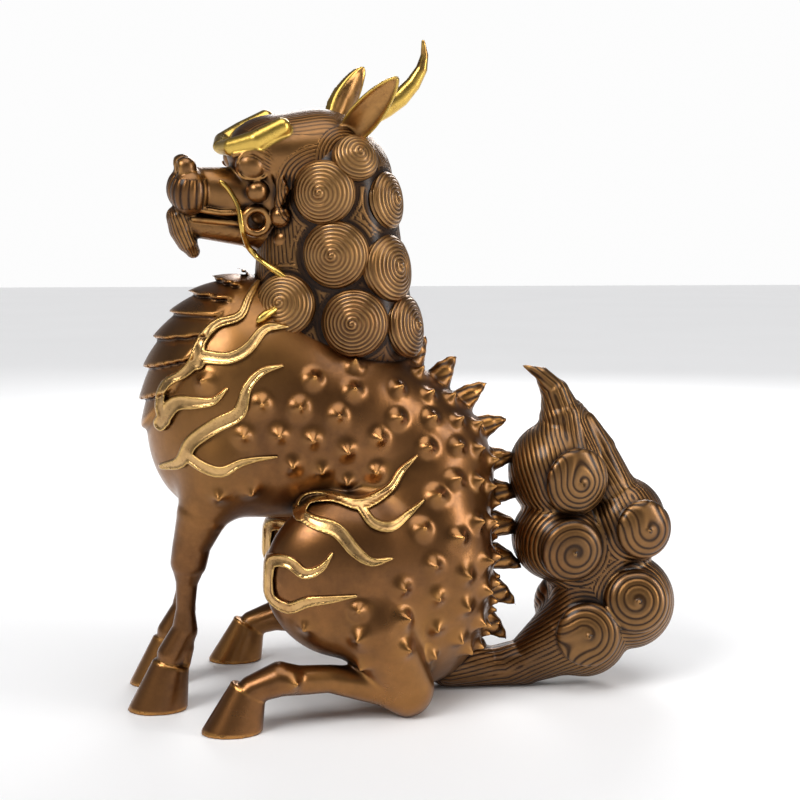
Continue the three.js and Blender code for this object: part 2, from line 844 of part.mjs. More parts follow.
/** A heap that gives the cheapest entry first. */
class Heap {
  constructor() {
    this.items = [];
  }

  push(item) {
    const items = this.items;
    let i = items.push(item) - 1;
    while (i > 0) {
      const parent = (i - 1) >> 1;
      if (items[parent].cost <= item.cost) break;
      items[i] = items[parent];
      i = parent;
    }
    items[i] = item;
  }

  pop() {
    const items = this.items;
    const top = items[0];
    const last = items.pop();
    if (items.length === 0) return top;
    let i = 0;
    for (;;) {
      let child = 2 * i + 1;
      if (child >= items.length) break;
      if (child + 1 < items.length && items[child + 1].cost < items[child].cost) child++;
      if (items[child].cost >= last.cost) break;
      items[i] = items[child];
      i = child;
    }
    items[i] = last;
    return top;
  }
}

/** Sum of squared distances to a set of planes, as the ten numbers of a symmetric 4 by 4 matrix. */
class Quadric {
  constructor() {
    this.q = new Float64Array(10);
  }

  /** Adds the plane through a triangle, weighted by its area and by what its detail is worth. */
  addTriangle(a, b, c) {
    const n = b.clone().sub(a).cross(c.clone().sub(a));
    const weight = (n.length() / 2) * (a.z > HAIR_LINE ? FACE_WORTH : 1);
    n.normalize();
    const w = -n.dot(a);
    const row = [n.x, n.y, n.z, w];
    for (let i = 0, m = 0; i < 4; i++) for (let j = i; j < 4; j++) this.q[m++] += weight * row[i] * row[j];
  }

  add(other) {
    for (let i = 0; i < 10; i++) this.q[i] += other.q[i];
    return this;
  }

  cost({ x, y, z }) {
    const q = this.q;
    return (
      q[0] * x * x + q[4] * y * y + q[7] * z * z + q[9] +
      2 * (q[1] * x * y + q[2] * x * z + q[3] * x + q[5] * y * z + q[6] * y + q[8] * z)
    );
  }

  /** The point nearest to all the planes, or null where they don't settle one. */
  best() {
    const q = this.q;
    const m = new THREE.Matrix3().set(q[0], q[1], q[2], q[1], q[4], q[5], q[2], q[5], q[7]);
    const size = q[0] + q[4] + q[7];
    if (abs(m.determinant()) < 1e-4 * size ** 3) return null;
    return V(-q[3], -q[6], -q[8]).applyMatrix3(m.invert());
  }
}

/** Merges edges until few enough triangles are left, with the mesh closed and its faces the right way out. */
function thin({ positions, faces }, wanted) {
  const quadrics = positions.map(() => new Quadric());
  const facesOf = positions.map(() => new Set());
  const stamp = new Int32Array(positions.length);
  const alive = faces.map(() => true);
  faces.forEach((face, f) => {
    const [a, b, c] = face.map((v) => positions[v]);
    for (const v of face) {
      quadrics[v].addTriangle(a, b, c);
      facesOf[v].add(f);
    }
  });
  const neighbours = (v) => {
    const found = new Set();
    for (const f of facesOf[v]) for (const u of faces[f]) if (u !== v) found.add(u);
    return found;
  };
  const heap = new Heap();
  const offer = (a, b) => {
    const both = new Quadric().add(quadrics[a]).add(quadrics[b]);
    const length = positions[a].distanceTo(positions[b]);
    const middle = positions[a].clone().lerp(positions[b], 0.5);
    const best = both.best();
    const place = best && best.distanceTo(middle) < length ? best : middle;
    const cost = max(both.cost(place), 0) + 1e-3 * length * length;
    heap.push({ cost, a, b, place, stamps: stamp[a] + stamp[b] });
  };
  positions.forEach((_, v) => {
    for (const u of neighbours(v)) if (u > v) offer(v, u);
  });
  const staysUpright = (moved, gone, place) => {
    for (const f of facesOf[moved]) {
      if (faces[f].includes(gone)) continue;
      const before = faces[f].map((v) => positions[v]);
      const after = faces[f].map((v) => (v === moved ? place : positions[v]));
      const n0 = before[1].clone().sub(before[0]).cross(before[2].clone().sub(before[0]));
      const n1 = after[1].clone().sub(after[0]).cross(after[2].clone().sub(after[0]));
      const longest = max(...after.map((p, i) => p.distanceToSquared(after[(i + 1) % 3])));
      if (n0.normalize().dot(n1) < 0.3 * n1.length() || n1.length() < 0.1 * longest) return false;
    }
    return true;
  };
  let left = faces.length;
  while (left > wanted && heap.items.length) {
    const { a, b, place, stamps } = heap.pop();
    if (stamps !== stamp[a] + stamp[b] || facesOf[a].size === 0 || facesOf[b].size === 0) continue;
    const around = neighbours(b);
    const shared = [...neighbours(a)].filter((v) => around.has(v));
    if (shared.length !== 2 || !around.has(a)) continue;
    if (!staysUpright(a, b, place) || !staysUpright(b, a, place)) continue;
    for (const f of [...facesOf[b]]) {
      facesOf[b].delete(f);
      if (faces[f].includes(a)) {
        alive[f] = false;
        left--;
        for (const v of faces[f]) facesOf[v].delete(f);
      } else {
        faces[f] = faces[f].map((v) => (v === b ? a : v));
        facesOf[a].add(f);
      }
    }
    positions[a] = place;
    quadrics[a].add(quadrics[b]);
    stamp[a] += 1;
    stamp[b] += 1;
    for (const u of neighbours(a)) offer(a, u);
  }
  return { positions, faces: faces.filter((_, f) => alive[f]) };
}

// From skin to the finished solid

/** A mesh of points and triangles as a manifold-3d solid. */
function toSolid(wasm, { positions, faces }) {
  const used = new Map();
  const vertices = [];
  const triangles = faces.flat().map((v) => {
    if (!used.has(v)) {
      used.set(v, used.size);
      vertices.push(...positions[v].toArray());
    }
    return used.get(v);
  });
  return new wasm.Manifold(
    new wasm.Mesh({
      numProp: 3,
      vertProperties: new Float32Array(vertices),
      triVerts: new Uint32Array(triangles),
    }),
  );
}

/** A slab with its top at the ground, as a solid to cut with. */
function makeGround(wasm) {
  const size = 400;
  const box = new THREE.BoxGeometry(size, size, 40).translate(0, 0, -20);
  const place = box.getAttribute("position");
  const points = new Map();
  const positions = [];
  const corner = Array.from({ length: place.count }, (_, i) => {
    const p = V(0, 0, 0).fromBufferAttribute(place, i);
    const key = p.toArray().join();
    if (!points.has(key)) points.set(key, positions.push(p) - 1);
    return points.get(key);
  });
  const index = [...box.getIndex().array].map((i) => corner[i]);
  const faces = Array.from({ length: index.length / 3 }, (_, f) => index.slice(3 * f, 3 * f + 3));
  return toSolid(wasm, { positions, faces });
}

/** The statue as one closed BufferGeometry, standing on the ground. */
async function makeStatue() {
  const wasm = await Module();
  wasm.setup();
  const field = makeBeast();
  const box = new THREE.Box3(V(-138, -70, -8), V(142, 70, HEIGHT + 10));
  const raw = skin(field, box, CELL);
  tighten(field, raw.positions, CELL);
  const beast = toSolid(wasm, thin(raw, TRIANGLES));
  const standing = beast.subtract(makeGround(wasm));
  const mesh = standing.getMesh();
  return new THREE.BufferGeometry()
    .setAttribute("position", new THREE.BufferAttribute(new Float32Array(mesh.vertProperties), 3))
    .setIndex(new THREE.BufferAttribute(new Uint32Array(mesh.triVerts), 1))
    .translate(-CENTRE.x, -CENTRE.y, -CENTRE.z);
}

const brass = new THREE.MeshStandardMaterial({ color: 0x8a5a2b, metalness: 1, roughness: 0.34 });
const geometry = await makeStatue();
geometry.computeVertexNormals();
const statue = new THREE.Mesh(geometry, brass);
statue.name = "xiezhi";

const figure = new THREE.Group();
figure.add(statue);

export default figure;
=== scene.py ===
"""A seated xiezhi, the one-horned guardian beast, cast in one piece in brown brass.

The beast sits on its haunches facing -X. Its flesh is modelled as a distance field: each form is a function of
a point that gives the distance to its surface, negative inside, and forms melt into each other as clay does.
The field is skinned with a fine mesh, and the strands of the hair are pressed into that mesh as ridges.
The sculptor's own coordinates are millimetres, +Z up. Objects are in metres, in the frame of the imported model.
"""
import logging
import math
from dataclasses import dataclass, field
from enum import Enum
from typing import Callable, Sequence

import bpy
import numpy as np
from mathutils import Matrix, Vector


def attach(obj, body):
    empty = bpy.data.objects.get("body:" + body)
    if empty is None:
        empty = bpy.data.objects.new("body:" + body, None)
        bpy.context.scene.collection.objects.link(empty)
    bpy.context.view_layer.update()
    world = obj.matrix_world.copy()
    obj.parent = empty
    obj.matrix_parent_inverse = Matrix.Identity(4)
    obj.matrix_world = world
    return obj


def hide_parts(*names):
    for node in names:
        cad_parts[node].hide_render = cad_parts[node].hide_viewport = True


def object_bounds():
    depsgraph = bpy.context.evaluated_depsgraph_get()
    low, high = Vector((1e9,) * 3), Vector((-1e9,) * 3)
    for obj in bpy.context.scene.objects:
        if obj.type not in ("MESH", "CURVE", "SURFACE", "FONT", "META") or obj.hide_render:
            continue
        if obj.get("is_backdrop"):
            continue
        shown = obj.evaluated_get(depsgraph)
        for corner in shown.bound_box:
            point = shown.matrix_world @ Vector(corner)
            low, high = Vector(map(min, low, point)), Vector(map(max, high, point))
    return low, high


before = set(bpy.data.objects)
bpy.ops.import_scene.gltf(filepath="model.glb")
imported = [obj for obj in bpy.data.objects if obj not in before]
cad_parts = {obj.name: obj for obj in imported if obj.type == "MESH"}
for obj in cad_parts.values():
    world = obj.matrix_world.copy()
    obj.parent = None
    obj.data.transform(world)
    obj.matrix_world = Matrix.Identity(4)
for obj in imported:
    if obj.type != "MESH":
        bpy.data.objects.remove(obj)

log = logging.getLogger("xiezhi")

Array = np.ndarray
Form = Callable[[Array, Array, Array], Array]
Point = tuple[float, float, float]

CENTRE = np.array([1.9, 0.0, 0.0])  # the middle of the footprint, in the sculptor's own coordinates
MILLIMETRE = 0.001
NODE = "xiezhi"


# Ways to shape and join forms


def smoothstep(value: Array, low: float, high: float) -> Array:
    """Eased step from 0 at low to 1 at high."""
    t = np.clip((value - low) / (high - low), 0.0, 1.0)
    return t * t * (3.0 - 2.0 * t)


def melt(a: Array, b: Array, k: float) -> Array:
    """Joins two distances with a fillet of about k."""
    h = np.maximum(k - np.abs(a - b), 0.0) / k
    return np.minimum(a, b) - h * h * k * 0.25


def egg(centre: Point, radii: Point, lean: float = 0.0) -> Form:
    """An ellipsoid with the given centre and radii, leaning in the XZ plane.

    Args:
        centre: its middle.
        radii: its three radii.
        lean: how far it leans in the XZ plane, in radians.

    Returns:
        The form.
    """
    c, s = math.cos(lean), math.sin(lean)
    rx, ry, rz = radii

    def distance(x: Array, y: Array, z: Array) -> Array:
        """Distance to the ellipsoid.

        Args:
            x: distances along X.
            y: distances along Y.
            z: heights.

        Returns:
            One distance a point, negative inside.
        """
        dx = (x - centre[0]) * c + (z - centre[2]) * s
        dz = (z - centre[2]) * c - (x - centre[0]) * s
        dy = y - centre[1]
        k0 = np.sqrt((dx / rx) ** 2 + (dy / ry) ** 2 + (dz / rz) ** 2)
        k1 = np.sqrt((dx / rx**2) ** 2 + (dy / ry**2) ** 2 + (dz / rz**2) ** 2)
        return k0 * (k0 - 1.0) / np.maximum(k1, 1e-9)

    return distance


def limb(stations: Sequence[Sequence[float]], wide: float = 1.0) -> Form:
    """A tapering limb through stations (x, y, z, radius), wider across than it is deep by the factor wide."""

    def distance(x: Array, y: Array, z: Array) -> Array:
        """Distance to the limb.

        Args:
            x: distances along X.
            y: distances along Y.
            z: heights.

        Returns:
            One distance a point, negative inside.
        """
        nearest = None
        for start, end in zip(stations, stations[1:]):
            ax, ay, az = end[0] - start[0], (end[1] - start[1]) / wide, end[2] - start[2]
            dx, dy, dz = x - start[0], (y - start[1]) / wide, z - start[2]
            t = np.clip((dx * ax + dy * ay + dz * az) / (ax * ax + ay * ay + az * az), 0.0, 1.0)
            away = np.sqrt((dx - ax * t) ** 2 + (dy - ay * t) ** 2 + (dz - az * t) ** 2)
            away = away - (start[3] + (end[3] - start[3]) * t)
            nearest = away if nearest is None else np.minimum(nearest, away)
        return nearest

    return distance


def blend(forms: Sequence[Form], k: float) -> Form:
    """Forms joined with one fillet."""

    def distance(x: Array, y: Array, z: Array) -> Array:
        """Distance to the joined form.

        Args:
            x: distances along X.
            y: distances along Y.
            z: heights.

        Returns:
            One distance a point, negative inside.
        """
        d = forms[0](x, y, z)
        for form in forms[1:]:
            d = melt(d, form(x, y, z), k)
        return d

    return distance


def pair(form: Form) -> Form:
    """A form made on the +Y side, and its mirror image."""
    return lambda x, y, z: form(x, np.abs(y), z)


def slope(form: Form, points: Array, step: float = 0.6) -> Array:
    """The outward direction of a form's surface at each point.

    Args:
        form: the form.
        points: where it is wanted, one row a point.
        step: how far apart the form is sampled.

    Returns:
        One unit direction a point.
    """
    x, y, z = points.T
    lean = np.stack(
        [
            form(x + step, y, z) - form(x - step, y, z),
            form(x, y + step, z) - form(x, y - step, z),
            form(x, y, z + step) - form(x, y, z - step),
        ],
        axis=1,
    )
    return lean / np.maximum(np.linalg.norm(lean, axis=1, keepdims=True), 1e-9)


def strike(form: Form, start: Array, towards: Array, reach: float) -> tuple[Array, Array]:
    """Where rays from outside first meet a form.

    Args:
        form: what is struck.
        start: one starting point a ray.
        towards: one unit direction a ray.
        reach: how far the rays go.

    Returns:
        The points, and whether each ray met the form.
    """
    t = np.zeros(len(start))
    met = np.zeros(len(start), bool)
    for _ in range(160):
        p = start + towards * t[:, None]
        d = form(*p.T)
        met |= d < 0.05
        t = np.where(met | (t > reach), t, t + np.maximum(d * 0.7, 0.05))
    return start + towards * t[:, None], met & (t <= reach)


class Curve:
    """A smooth curve through points, as a centripetal Catmull-Rom spline."""

    def __init__(self, points: Sequence[Sequence[float]], pieces: int = 24) -> None:
        """Samples the curve.

        Args:
            points: what it runs through, with any number of coordinates.
            pieces: samples from one point to the next.
        """
        p = np.array(points, float)
        p = np.vstack([2 * p[0] - p[1], p, 2 * p[-1] - p[-2]])
        samples = []
        for i in range(1, len(p) - 2):
            samples.append(self._segment(p[i - 1 : i + 3], np.arange(pieces) / pieces))
        samples.append(p[-2][None])
        self.samples = np.vstack(samples)
        steps = np.linalg.norm(np.diff(self.samples, axis=0), axis=1)
        self.along = np.concatenate([[0.0], np.cumsum(steps)])
        self.length = float(self.along[-1])

    @staticmethod
    def _segment(p: Array, t: Array) -> Array:
        """Samples the stretch between the middle two of four points.

        Args:
            p: the four points.
            t: how far along the stretch, from 0 to 1.

        Returns:
            One sample for each t.
        """
        gaps = np.maximum(np.sqrt(np.linalg.norm(np.diff(p, axis=0), axis=1)), 1e-4)
        d0, d1, d2 = gaps
        m1 = ((p[1] - p[0]) / d0 - (p[2] - p[0]) / (d0 + d1) + (p[2] - p[1]) / d1) * d1
        m2 = ((p[2] - p[1]) / d1 - (p[3] - p[1]) / (d1 + d2) + (p[3] - p[2]) / d2) * d1
        t = t[:, None]
        return (
            p[1] * (2 * t**3 - 3 * t**2 + 1)
            + m1 * (t**3 - 2 * t**2 + t)
            + p[2] * (3 * t**2 - 2 * t**3)
            + m2 * (t**3 - t**2)
        )

    def at(self, u: Array) -> Array:
        """Points at the given parts of the curve's length."""
        s = np.atleast_1d(u) * self.length
        return np.stack([np.interp(s, self.along, c) for c in self.samples.T], axis=1)

    def run(self, u: Array) -> Array:
        """Unit directions along the curve."""
        step = self.at(np.clip(np.atleast_1d(u) + 1e-3, 0, 1)) - self.at(np.clip(np.atleast_1d(u) - 1e-3, 0, 1))
        return step / np.linalg.norm(step, axis=1, keepdims=True)


# From field to skin


class Clay:
    """Samples of a field on a regular grid, exact near its surface and rough elsewhere."""

    BLOCK = 4

    def __init__(self, form: Form, low: Point, high: Point, cell: float, reach: float = 7.0) -> None:
        """Samples a form.

        Args:
            form: the field.
            low: lowest corner of the box, in millimetres.
            high: highest corner.
            cell: spacing of the samples.
            reach: how far from the surface the samples are exact.
        """
        self.cell = cell
        self.low = np.array(low, float)
        blocks = np.ceil((np.array(high) - self.low) / (cell * self.BLOCK)).astype(int)
        size = self.BLOCK * cell
        middles = [self.low[a] + (np.arange(blocks[a]) + 0.5) * size - 0.5 * cell for a in range(3)]
        x, y, z = np.meshgrid(*middles, indexing="ij")
        rough = form(x.ravel(), y.ravel(), z.ravel()).reshape(blocks).astype(np.float32)
        self.values = np.empty((blocks[0], self.BLOCK, blocks[1], self.BLOCK, blocks[2], self.BLOCK), np.float32)
        self.values[:] = rough[:, None, :, None, :, None]
        near = np.argwhere(np.abs(rough) < reach + size * 0.9)
        inner = np.stack(np.meshgrid(*[np.arange(self.BLOCK)] * 3, indexing="ij"), -1).reshape(-1, 3)
        for chunk in np.array_split(near, max(1, len(near) // 4000)):
            place = (chunk[:, None, :] * self.BLOCK + inner[None]).reshape(-1, 3)
            points = (self.low + place * cell).astype(np.float32)
            exact = form(*points.T).reshape(len(chunk), *[self.BLOCK] * 3)
            self.values[chunk[:, 0], :, chunk[:, 1], :, chunk[:, 2], :] = exact
        self.values = self.values.reshape(blocks * self.BLOCK)

    def _window(self, centre: Array, reach: float) -> tuple[tuple[slice, ...], tuple[Array, ...]]:
        """The samples within reach of a point.

        Args:
            centre: the point.
            reach: how far to each side.

        Returns:
            Slices of the grid, and the samples' coordinates.
        """
        first = np.maximum(((centre - reach - self.low) / self.cell).astype(int), 0)
        last = np.minimum(((centre + reach - self.low) / self.cell).astype(int) + 2, self.values.shape)
        window = tuple(slice(a, max(b, a)) for a, b in zip(first, last))
        axes = [self.low[a] + np.arange(window[a].start, window[a].stop) * self.cell for a in range(3)]
        return window, tuple(np.meshgrid(*axes, indexing="ij", sparse=True))

    def add(self, form: Form, centre: Array, reach: float, k: float) -> None:
        """Joins a small form.

        Args:
            form: what is added.
            centre: its middle.
            reach: how far from there it matters.
            k: the fillet.
        """
        window, (x, y, z) = self._window(centre, reach)
        here = self.values[window]
        if here.size:
            self.values[window] = melt(here, np.broadcast_to(form(x, y, z), here.shape), k)

    def carve(self, form: Form, centre: Array, reach: float, k: float) -> None:
        """Cuts a small form out.

        Args:
            form: what is cut out.
            centre: its middle.
            reach: how far from there it matters.
            k: how round the edge becomes.
        """
        window, (x, y, z) = self._window(centre, reach)
        here = self.values[window]
        if here.size:
            self.values[window] = -melt(-here, np.broadcast_to(form(x, y, z), here.shape), k)

    def copy(self) -> "Clay":
        """The same samples, to be worked on further.

        Returns:
            The copy, which shares nothing with the first.
        """
        twin = Clay.__new__(Clay)
        twin.cell, twin.low, twin.values = self.cell, self.low, self.values.copy()
        return twin

    def at(self, points: Array) -> Array:
        """The field between the samples.

        Args:
            points: where it is wanted, one row a point.

        Returns:
            One distance a point.
        """
        place = (points - self.low) / self.cell
        place = np.clip(place, 0, np.array(self.values.shape) - 1.001)
        whole = place.astype(int)
        fx, fy, fz = (place - whole).T
        i, j, k = whole.T
        total = np.zeros(len(points))
        for a, wx in ((0, 1 - fx), (1, fx)):
            for b, wy in ((0, 1 - fy), (1, fy)):
                for c, wz in ((0, 1 - fz), (1, fz)):
                    total += wx * wy * wz * self.values[i + a, j + b, k + c]
        return total

    def facing(self, points: Array) -> Array:
        """The outward direction at each point.

        Args:
            points: where it is wanted, one row a point.

        Returns:
            One unit direction a point.
        """
        step = np.eye(3) * self.cell * 0.75
        lean = np.stack([self.at(points + s) - self.at(points - s) for s in step], axis=1)
        return lean / np.maximum(np.linalg.norm(lean, axis=1, keepdims=True), 1e-9)

    def skin(self) -> tuple[Array, Array]:
        """Draws the zero surface.

        Returns:
            The vertices in millimetres and the quads, facing out.
        """
        v = self.values
        inside = v < 0
        size = np.array(v.shape) - 1
        corners = [(a, b, c) for a in (0, 1) for b in (0, 1) for c in (0, 1)]
        count = np.zeros(size, np.uint8)
        for a, b, c in corners:
            count += inside[a : a + size[0], b : b + size[1], c : c + size[2]]
        cells = np.argwhere((count > 0) & (count < 8))
        number = np.full(size, -1, np.int32)
        number[tuple(cells.T)] = np.arange(len(cells))
        total = np.zeros((len(cells), 3))
        crossings = np.zeros(len(cells))
        for a in corners:
            for axis in range(3):
                if a[axis]:
                    continue
                b = tuple(1 if n == axis else a[n] for n in range(3))
                va = v[tuple((cells + a).T)]
                vb = v[tuple((cells + b).T)]
                cross = (va < 0) != (vb < 0)
                t = np.where(cross, va / np.where(cross, va - vb, 1), 0)
                spot = np.tile(np.array(a, float), (len(cells), 1))
                spot[:, axis] += t
                total += spot * cross[:, None]
                crossings += cross
        points = (cells + total / crossings[:, None]) * self.cell + self.low
        quads = []
        for axis in range(3):
            u, w = np.eye(3, dtype=int)[(axis + 1) % 3], np.eye(3, dtype=int)[(axis + 2) % 3]
            step = np.eye(3, dtype=int)[axis]
            here = inside[: size[0], : size[1], : size[2]]
            there = inside[step[0] : step[0] + size[0], step[1] : step[1] + size[1], step[2] : step[2] + size[2]]
            edges = np.argwhere(here != there)
            edges = edges[(edges >= 1).all(1)]
            ring = [edges - u - w, edges - w, edges, edges - u]
            quad = np.stack([number[tuple(c.T)] for c in ring], axis=1)
            outward = here[tuple(edges.T)]
            quads.append(np.where(outward[:, None], quad, quad[:, ::-1]))
        for _ in range(2):
            shift = np.clip(self.at(points), -0.4 * self.cell, 0.4 * self.cell)
            points = points - self.facing(points) * shift[:, None]
        return points, np.vstack(quads)


# The beast, part by part, in the sculptor's coordinates


@dataclass(frozen=True)
class Flame:
    """One tongue of a flame, as seen from the side: stations (x, z, half width)."""

    least: float  # it is left off nearer to the middle than this
    path: tuple[tuple[float, float, float], ...]


FLAMES = (
    Flame(12, ((-62, 198, 0.8), (-69, 187, 1.8), (-73, 179, 2), (-84, 175, 2.2), (-90.5, 167, 2.5), (-92, 159, 3.6))),
    Flame(12, ((-90, 161.5, 3), (-78, 161, 2.7), (-70, 165, 2.6), (-62, 173.5, 2.1), (-52, 174, 0.9))),
    Flame(5, ((-91, 161, 3.2), (-98, 154, 2.4), (-106, 149, 2.2), (-109, 140, 2.4), (-107, 133, 3.2))),
    Flame(5, ((-109, 131, 3.4), (-102, 140.5, 3.4), (-93, 141.5, 2.8), (-85, 142.5, 1.9), (-79, 148, 0.7))),
    Flame(
        5,
        (
            (-109, 111, 1.6),
            (-100, 115, 2.8),
            (-95, 124, 3.2),
            (-84, 132, 3.4),
            (-74, 137.5, 3.2),
            (-70.5, 148, 2.2),
            (-64, 155, 1.8),
            (-55, 157.5, 0.7),
        ),
    ),
    Flame(5, ((-98, 119, 2.6), (-90, 114, 2.6), (-82, 112, 2.6), (-73, 116, 1.8), (-58, 118, 0.7))),
    Flame(
        20,
        (
            (-49, 93, 2.4),
            (-45, 99, 2.2),
            (-34, 100.5, 1.8),
            (-22, 98, 2.4),
            (-9, 103, 2),
            (-3, 111, 1.6),
            (4, 117, 0.6),
        ),
    ),
    Flame(20, ((-22, 97, 2.2), (-17, 90.5, 2.2), (-9, 88.5, 2.2), (-1, 93, 1.6), (6, 98.5, 0.6))),
    Flame(20, ((-49, 94, 2.4), (-43, 91, 2.8), (-33, 88, 3.2), (-25, 79, 2.8), (-18, 74.5, 2), (-9, 75.5, 0.7))),
    Flame(20, ((-62.5, 65, 2.2), (-61, 73, 2.6), (-54, 74, 2.8), (-47, 69.5, 2.5), (-40, 72, 1.8), (-35, 78.5, 0.7))),
    Flame(20, ((-62.5, 66, 2.2), (-61.5, 57, 2.6), (-54, 53.5, 2.8), (-46, 57, 2.5), (-36, 58.5, 1.8), (-25, 60, 0.7))),
)


def beside_flame(points: Array, margin: float) -> Array:
    """Whether points, seen from the side, lie on or beside a flame.

    Args:
        points: where it is wanted, one row a point.
        margin: how far beside a flame still counts.

    Returns:
        True for each point on or beside one.
    """
    found = np.zeros(len(points), bool)
    for flame in FLAMES:
        for (ax, az, ah), (bx, bz, bh) in zip(flame.path, flame.path[1:]):
            ux, uz = bx - ax, bz - az
            t = np.clip(((points[:, 0] - ax) * ux + (points[:, 2] - az) * uz) / (ux * ux + uz * uz), 0, 1)
            away = np.hypot(points[:, 0] - ax - ux * t, points[:, 2] - az - uz * t)
            found |= away < max(ah, bh) + margin
    return found


@dataclass(frozen=True)
class Row:
    """One row of knobs along the trunk."""

    away: float  # degrees from the ridge of the back
    pitch: float
    radius: float
    height: float


@dataclass(frozen=True)
class Body:
    """Trunk, legs and hooves, with the plates, knobs and thorns that stand on them."""

    plate_step: float = 8.0  # degrees, seen from where the plates' edges would meet
    plate_rise: float = 3.4
    thorn_pitch: float = 15.8
    thorn_length: float = 13.0
    foreleg_step: float = 2.5  # the foreleg on the +Y side stands this much further forward
    cell: float = 1.12
    rows: tuple[Row, ...] = (
        Row(14, 10, 3.2, 5),
        Row(23, 10.5, 3.3, 5),
        Row(33, 12.5, 3.7, 5),
        Row(46, 15.5, 4.4, 5),
        Row(61, 17, 4.8, 5),
        Row(77, 17, 4.8, 4.8),
        Row(94, 17, 4.6, 4.6),
        Row(112, 17, 4.4, 4.4),
        Row(132, 17, 4, 4),
    )
    trunk_line: tuple[Point, ...] = (
        (-88, 0, 116),
        (-60, 0, 118),
        (-28, 0, 110),
        (-6, 0, 84),
        (0, 0, 50),
        (0, 0, 18),
    )
    ridge_line: tuple[Point, ...] = (
        (-3, 0, 166),
        (6, 0, 158),
        (18, 0, 149),
        (30, 0, 138),
        (38, 0, 125),
        (43, 0, 109),
        (46, 0, 90),
        (47, 0, 72),
        (46, 0, 54),
        (43, 0, 37),
        (38, 0, 18),
        (33, 0, 6),
    )

    def torso(self) -> Form:
        """Chest, ribs, loins and rump."""
        return blend(
            [
                egg((-74, 0, 145), (41.5, 35, 43)),
                egg((-69, 0, 160), (31, 28, 35)),
                egg((-80.5, 0, 119.5), (34, 33, 34)),
                pair(egg((-66, 17, 132), (33, 22, 42))),
                egg((-33, 0, 127), (50, 40, 45)),
                egg((3, 0, 97), (41, 37, 50), -0.12),
                egg((5.5, 0, 45), (36, 38, 43)),
                pair(egg((6, 24, 66), (33, 26, 42))),
            ],
            14,
        )

    @staticmethod
    def hoof(sole: Point, coronet: Point, fall: float) -> Form:
        """A hoof as a leaning cone between its sole and its coronet, which slopes down to the heel.

        Args:
            sole: middle of the sole.
            coronet: middle of the upper rim.
            fall: how steeply the upper rim slopes.

        Returns:
            The form.
        """
        sole_radius, coronet_radius, narrow = 13.6, 8.8, 1.32

        def distance(x: Array, y: Array, z: Array) -> Array:
            """Distance to the hoof.

            Args:
                x: distances along X.
                y: distances along Y.
                z: heights.

            Returns:
                One distance a point, negative inside.
            """
            t = np.clip((z - sole[2]) / (coronet[2] - sole[2]), -1.0, 1.2)
            dx = x - (sole[0] + (coronet[0] - sole[0]) * t)
            dy = (y - (sole[1] + (coronet[1] - sole[1]) * t)) * narrow
            wall = (np.hypot(dx, dy) - (sole_radius + (coronet_radius - sole_radius) * t)) * 0.85
            top = (z - (coronet[2] + 1 - fall * dx)) * 0.9
            return np.maximum(np.maximum(wall, top), -z)

        return distance

    def hind_leg(self) -> Form:
        """Thigh, folded shank and the foot that lies along the ground.

        Returns:
            The form.
        """
        haunch = blend([egg((-26, 38, 64), (38, 20, 37)), limb([(-16, 44, 42, 17), (-1, 39.5, 14, 12)])], 7)
        foot = limb(
            [
                (-1, 39, 10.6, 11.1),
                (-13, 41, 14, 8.2),
                (-36, 46, 20, 6.1),
                (-50, 50, 21, 6.5),
                (-58, 52, 22.5, 7.6),
                (-70, 53, 18.5, 6.2),
            ]
        )
        hoof = self.hoof((-79, 53, 0), (-72.5, 52.5, 18), 0.5)
        return pair(lambda x, y, z: melt(melt(haunch(x, y, z), foot(x, y, z), 3), hoof(x, y, z), 1.0))

    def foreleg(self) -> Form:
        """Shoulder, knee, cannon and pastern of a straight foreleg.

        Returns:
            The form.
        """
        leg = limb(
            [
                (-80, 22, 112, 20),
                (-91, 22, 90, 11.5),
                (-96, 21, 76, 8.6),
                (-97.5, 20.5, 68, 8.2),
                (-98.6, 20, 58, 4.9),
                (-99.4, 19.5, 46, 4.3),
                (-100, 19, 36, 5.9),
                (-106, 19, 25, 6.6),
            ]
        )
        tuft = limb([(-100, 19.5, 36, 3.6), (-99.2, 19.5, 28, 3.4), (-99.4, 19.5, 21, 2)])
        hoof = self.hoof((-112.8, 19.5, 0), (-107, 19.5, 20.5), 0.25)
        one = pair(lambda x, y, z: melt(melt(leg(x, y, z), tuft(x, y, z), 1.2), hoof(x, y, z), 1.0))

        def distance(x: Array, y: Array, z: Array) -> Array:
            """Distance to the foreleg, moved to where it stands."""
            step = np.where(y > 0, self.foreleg_step * smoothstep(110 - z, 0, 90), 0)
            return one(x + step, y, z)

        return distance

    def plates(self, x: Array, z: Array) -> tuple[Array, Array]:
        """Where a point lies on the chest plates.

        Args:
            x: distances along X.
            z: heights.

        Returns:
            How far the plates show, from 0 to 1, and how far down its plate the point is, from 0 to 1.
        """
        edge = -70 - (197 - z) * 0.68
        shown = smoothstep(edge + 3 - x, 0, 6) * smoothstep(z, 96, 108) * smoothstep(206 - z, 0, 5)
        count = (24.3 - np.degrees(np.arctan2(z - 178, -(x + 30)))) / self.plate_step
        return shown, count - np.floor(count)

    def flesh(self) -> Form:
        """Trunk and legs with the chest plates, and without knobs and thorns.

        Returns:
            The form.
        """
        torso, hind_leg, foreleg = self.torso(), self.hind_leg(), self.foreleg()

        def distance(x: Array, y: Array, z: Array) -> Array:
            """Distance to the flesh.

            Args:
                x: distances along X.
                y: distances along Y.
                z: heights.

            Returns:
                One distance a point, negative inside.
            """
            trunk = torso(x, y, z)
            legs = melt(melt(trunk, hind_leg(x, y, z), 6), foreleg(x, y, z), 7)
            shown, part = self.plates(x, z)
            lip = np.where(part < 0.93, part / 0.93, (1 - part) / 0.07)
            return legs - shown * self.plate_rise * lip * smoothstep(12 - trunk, 0, 6)

        return distance

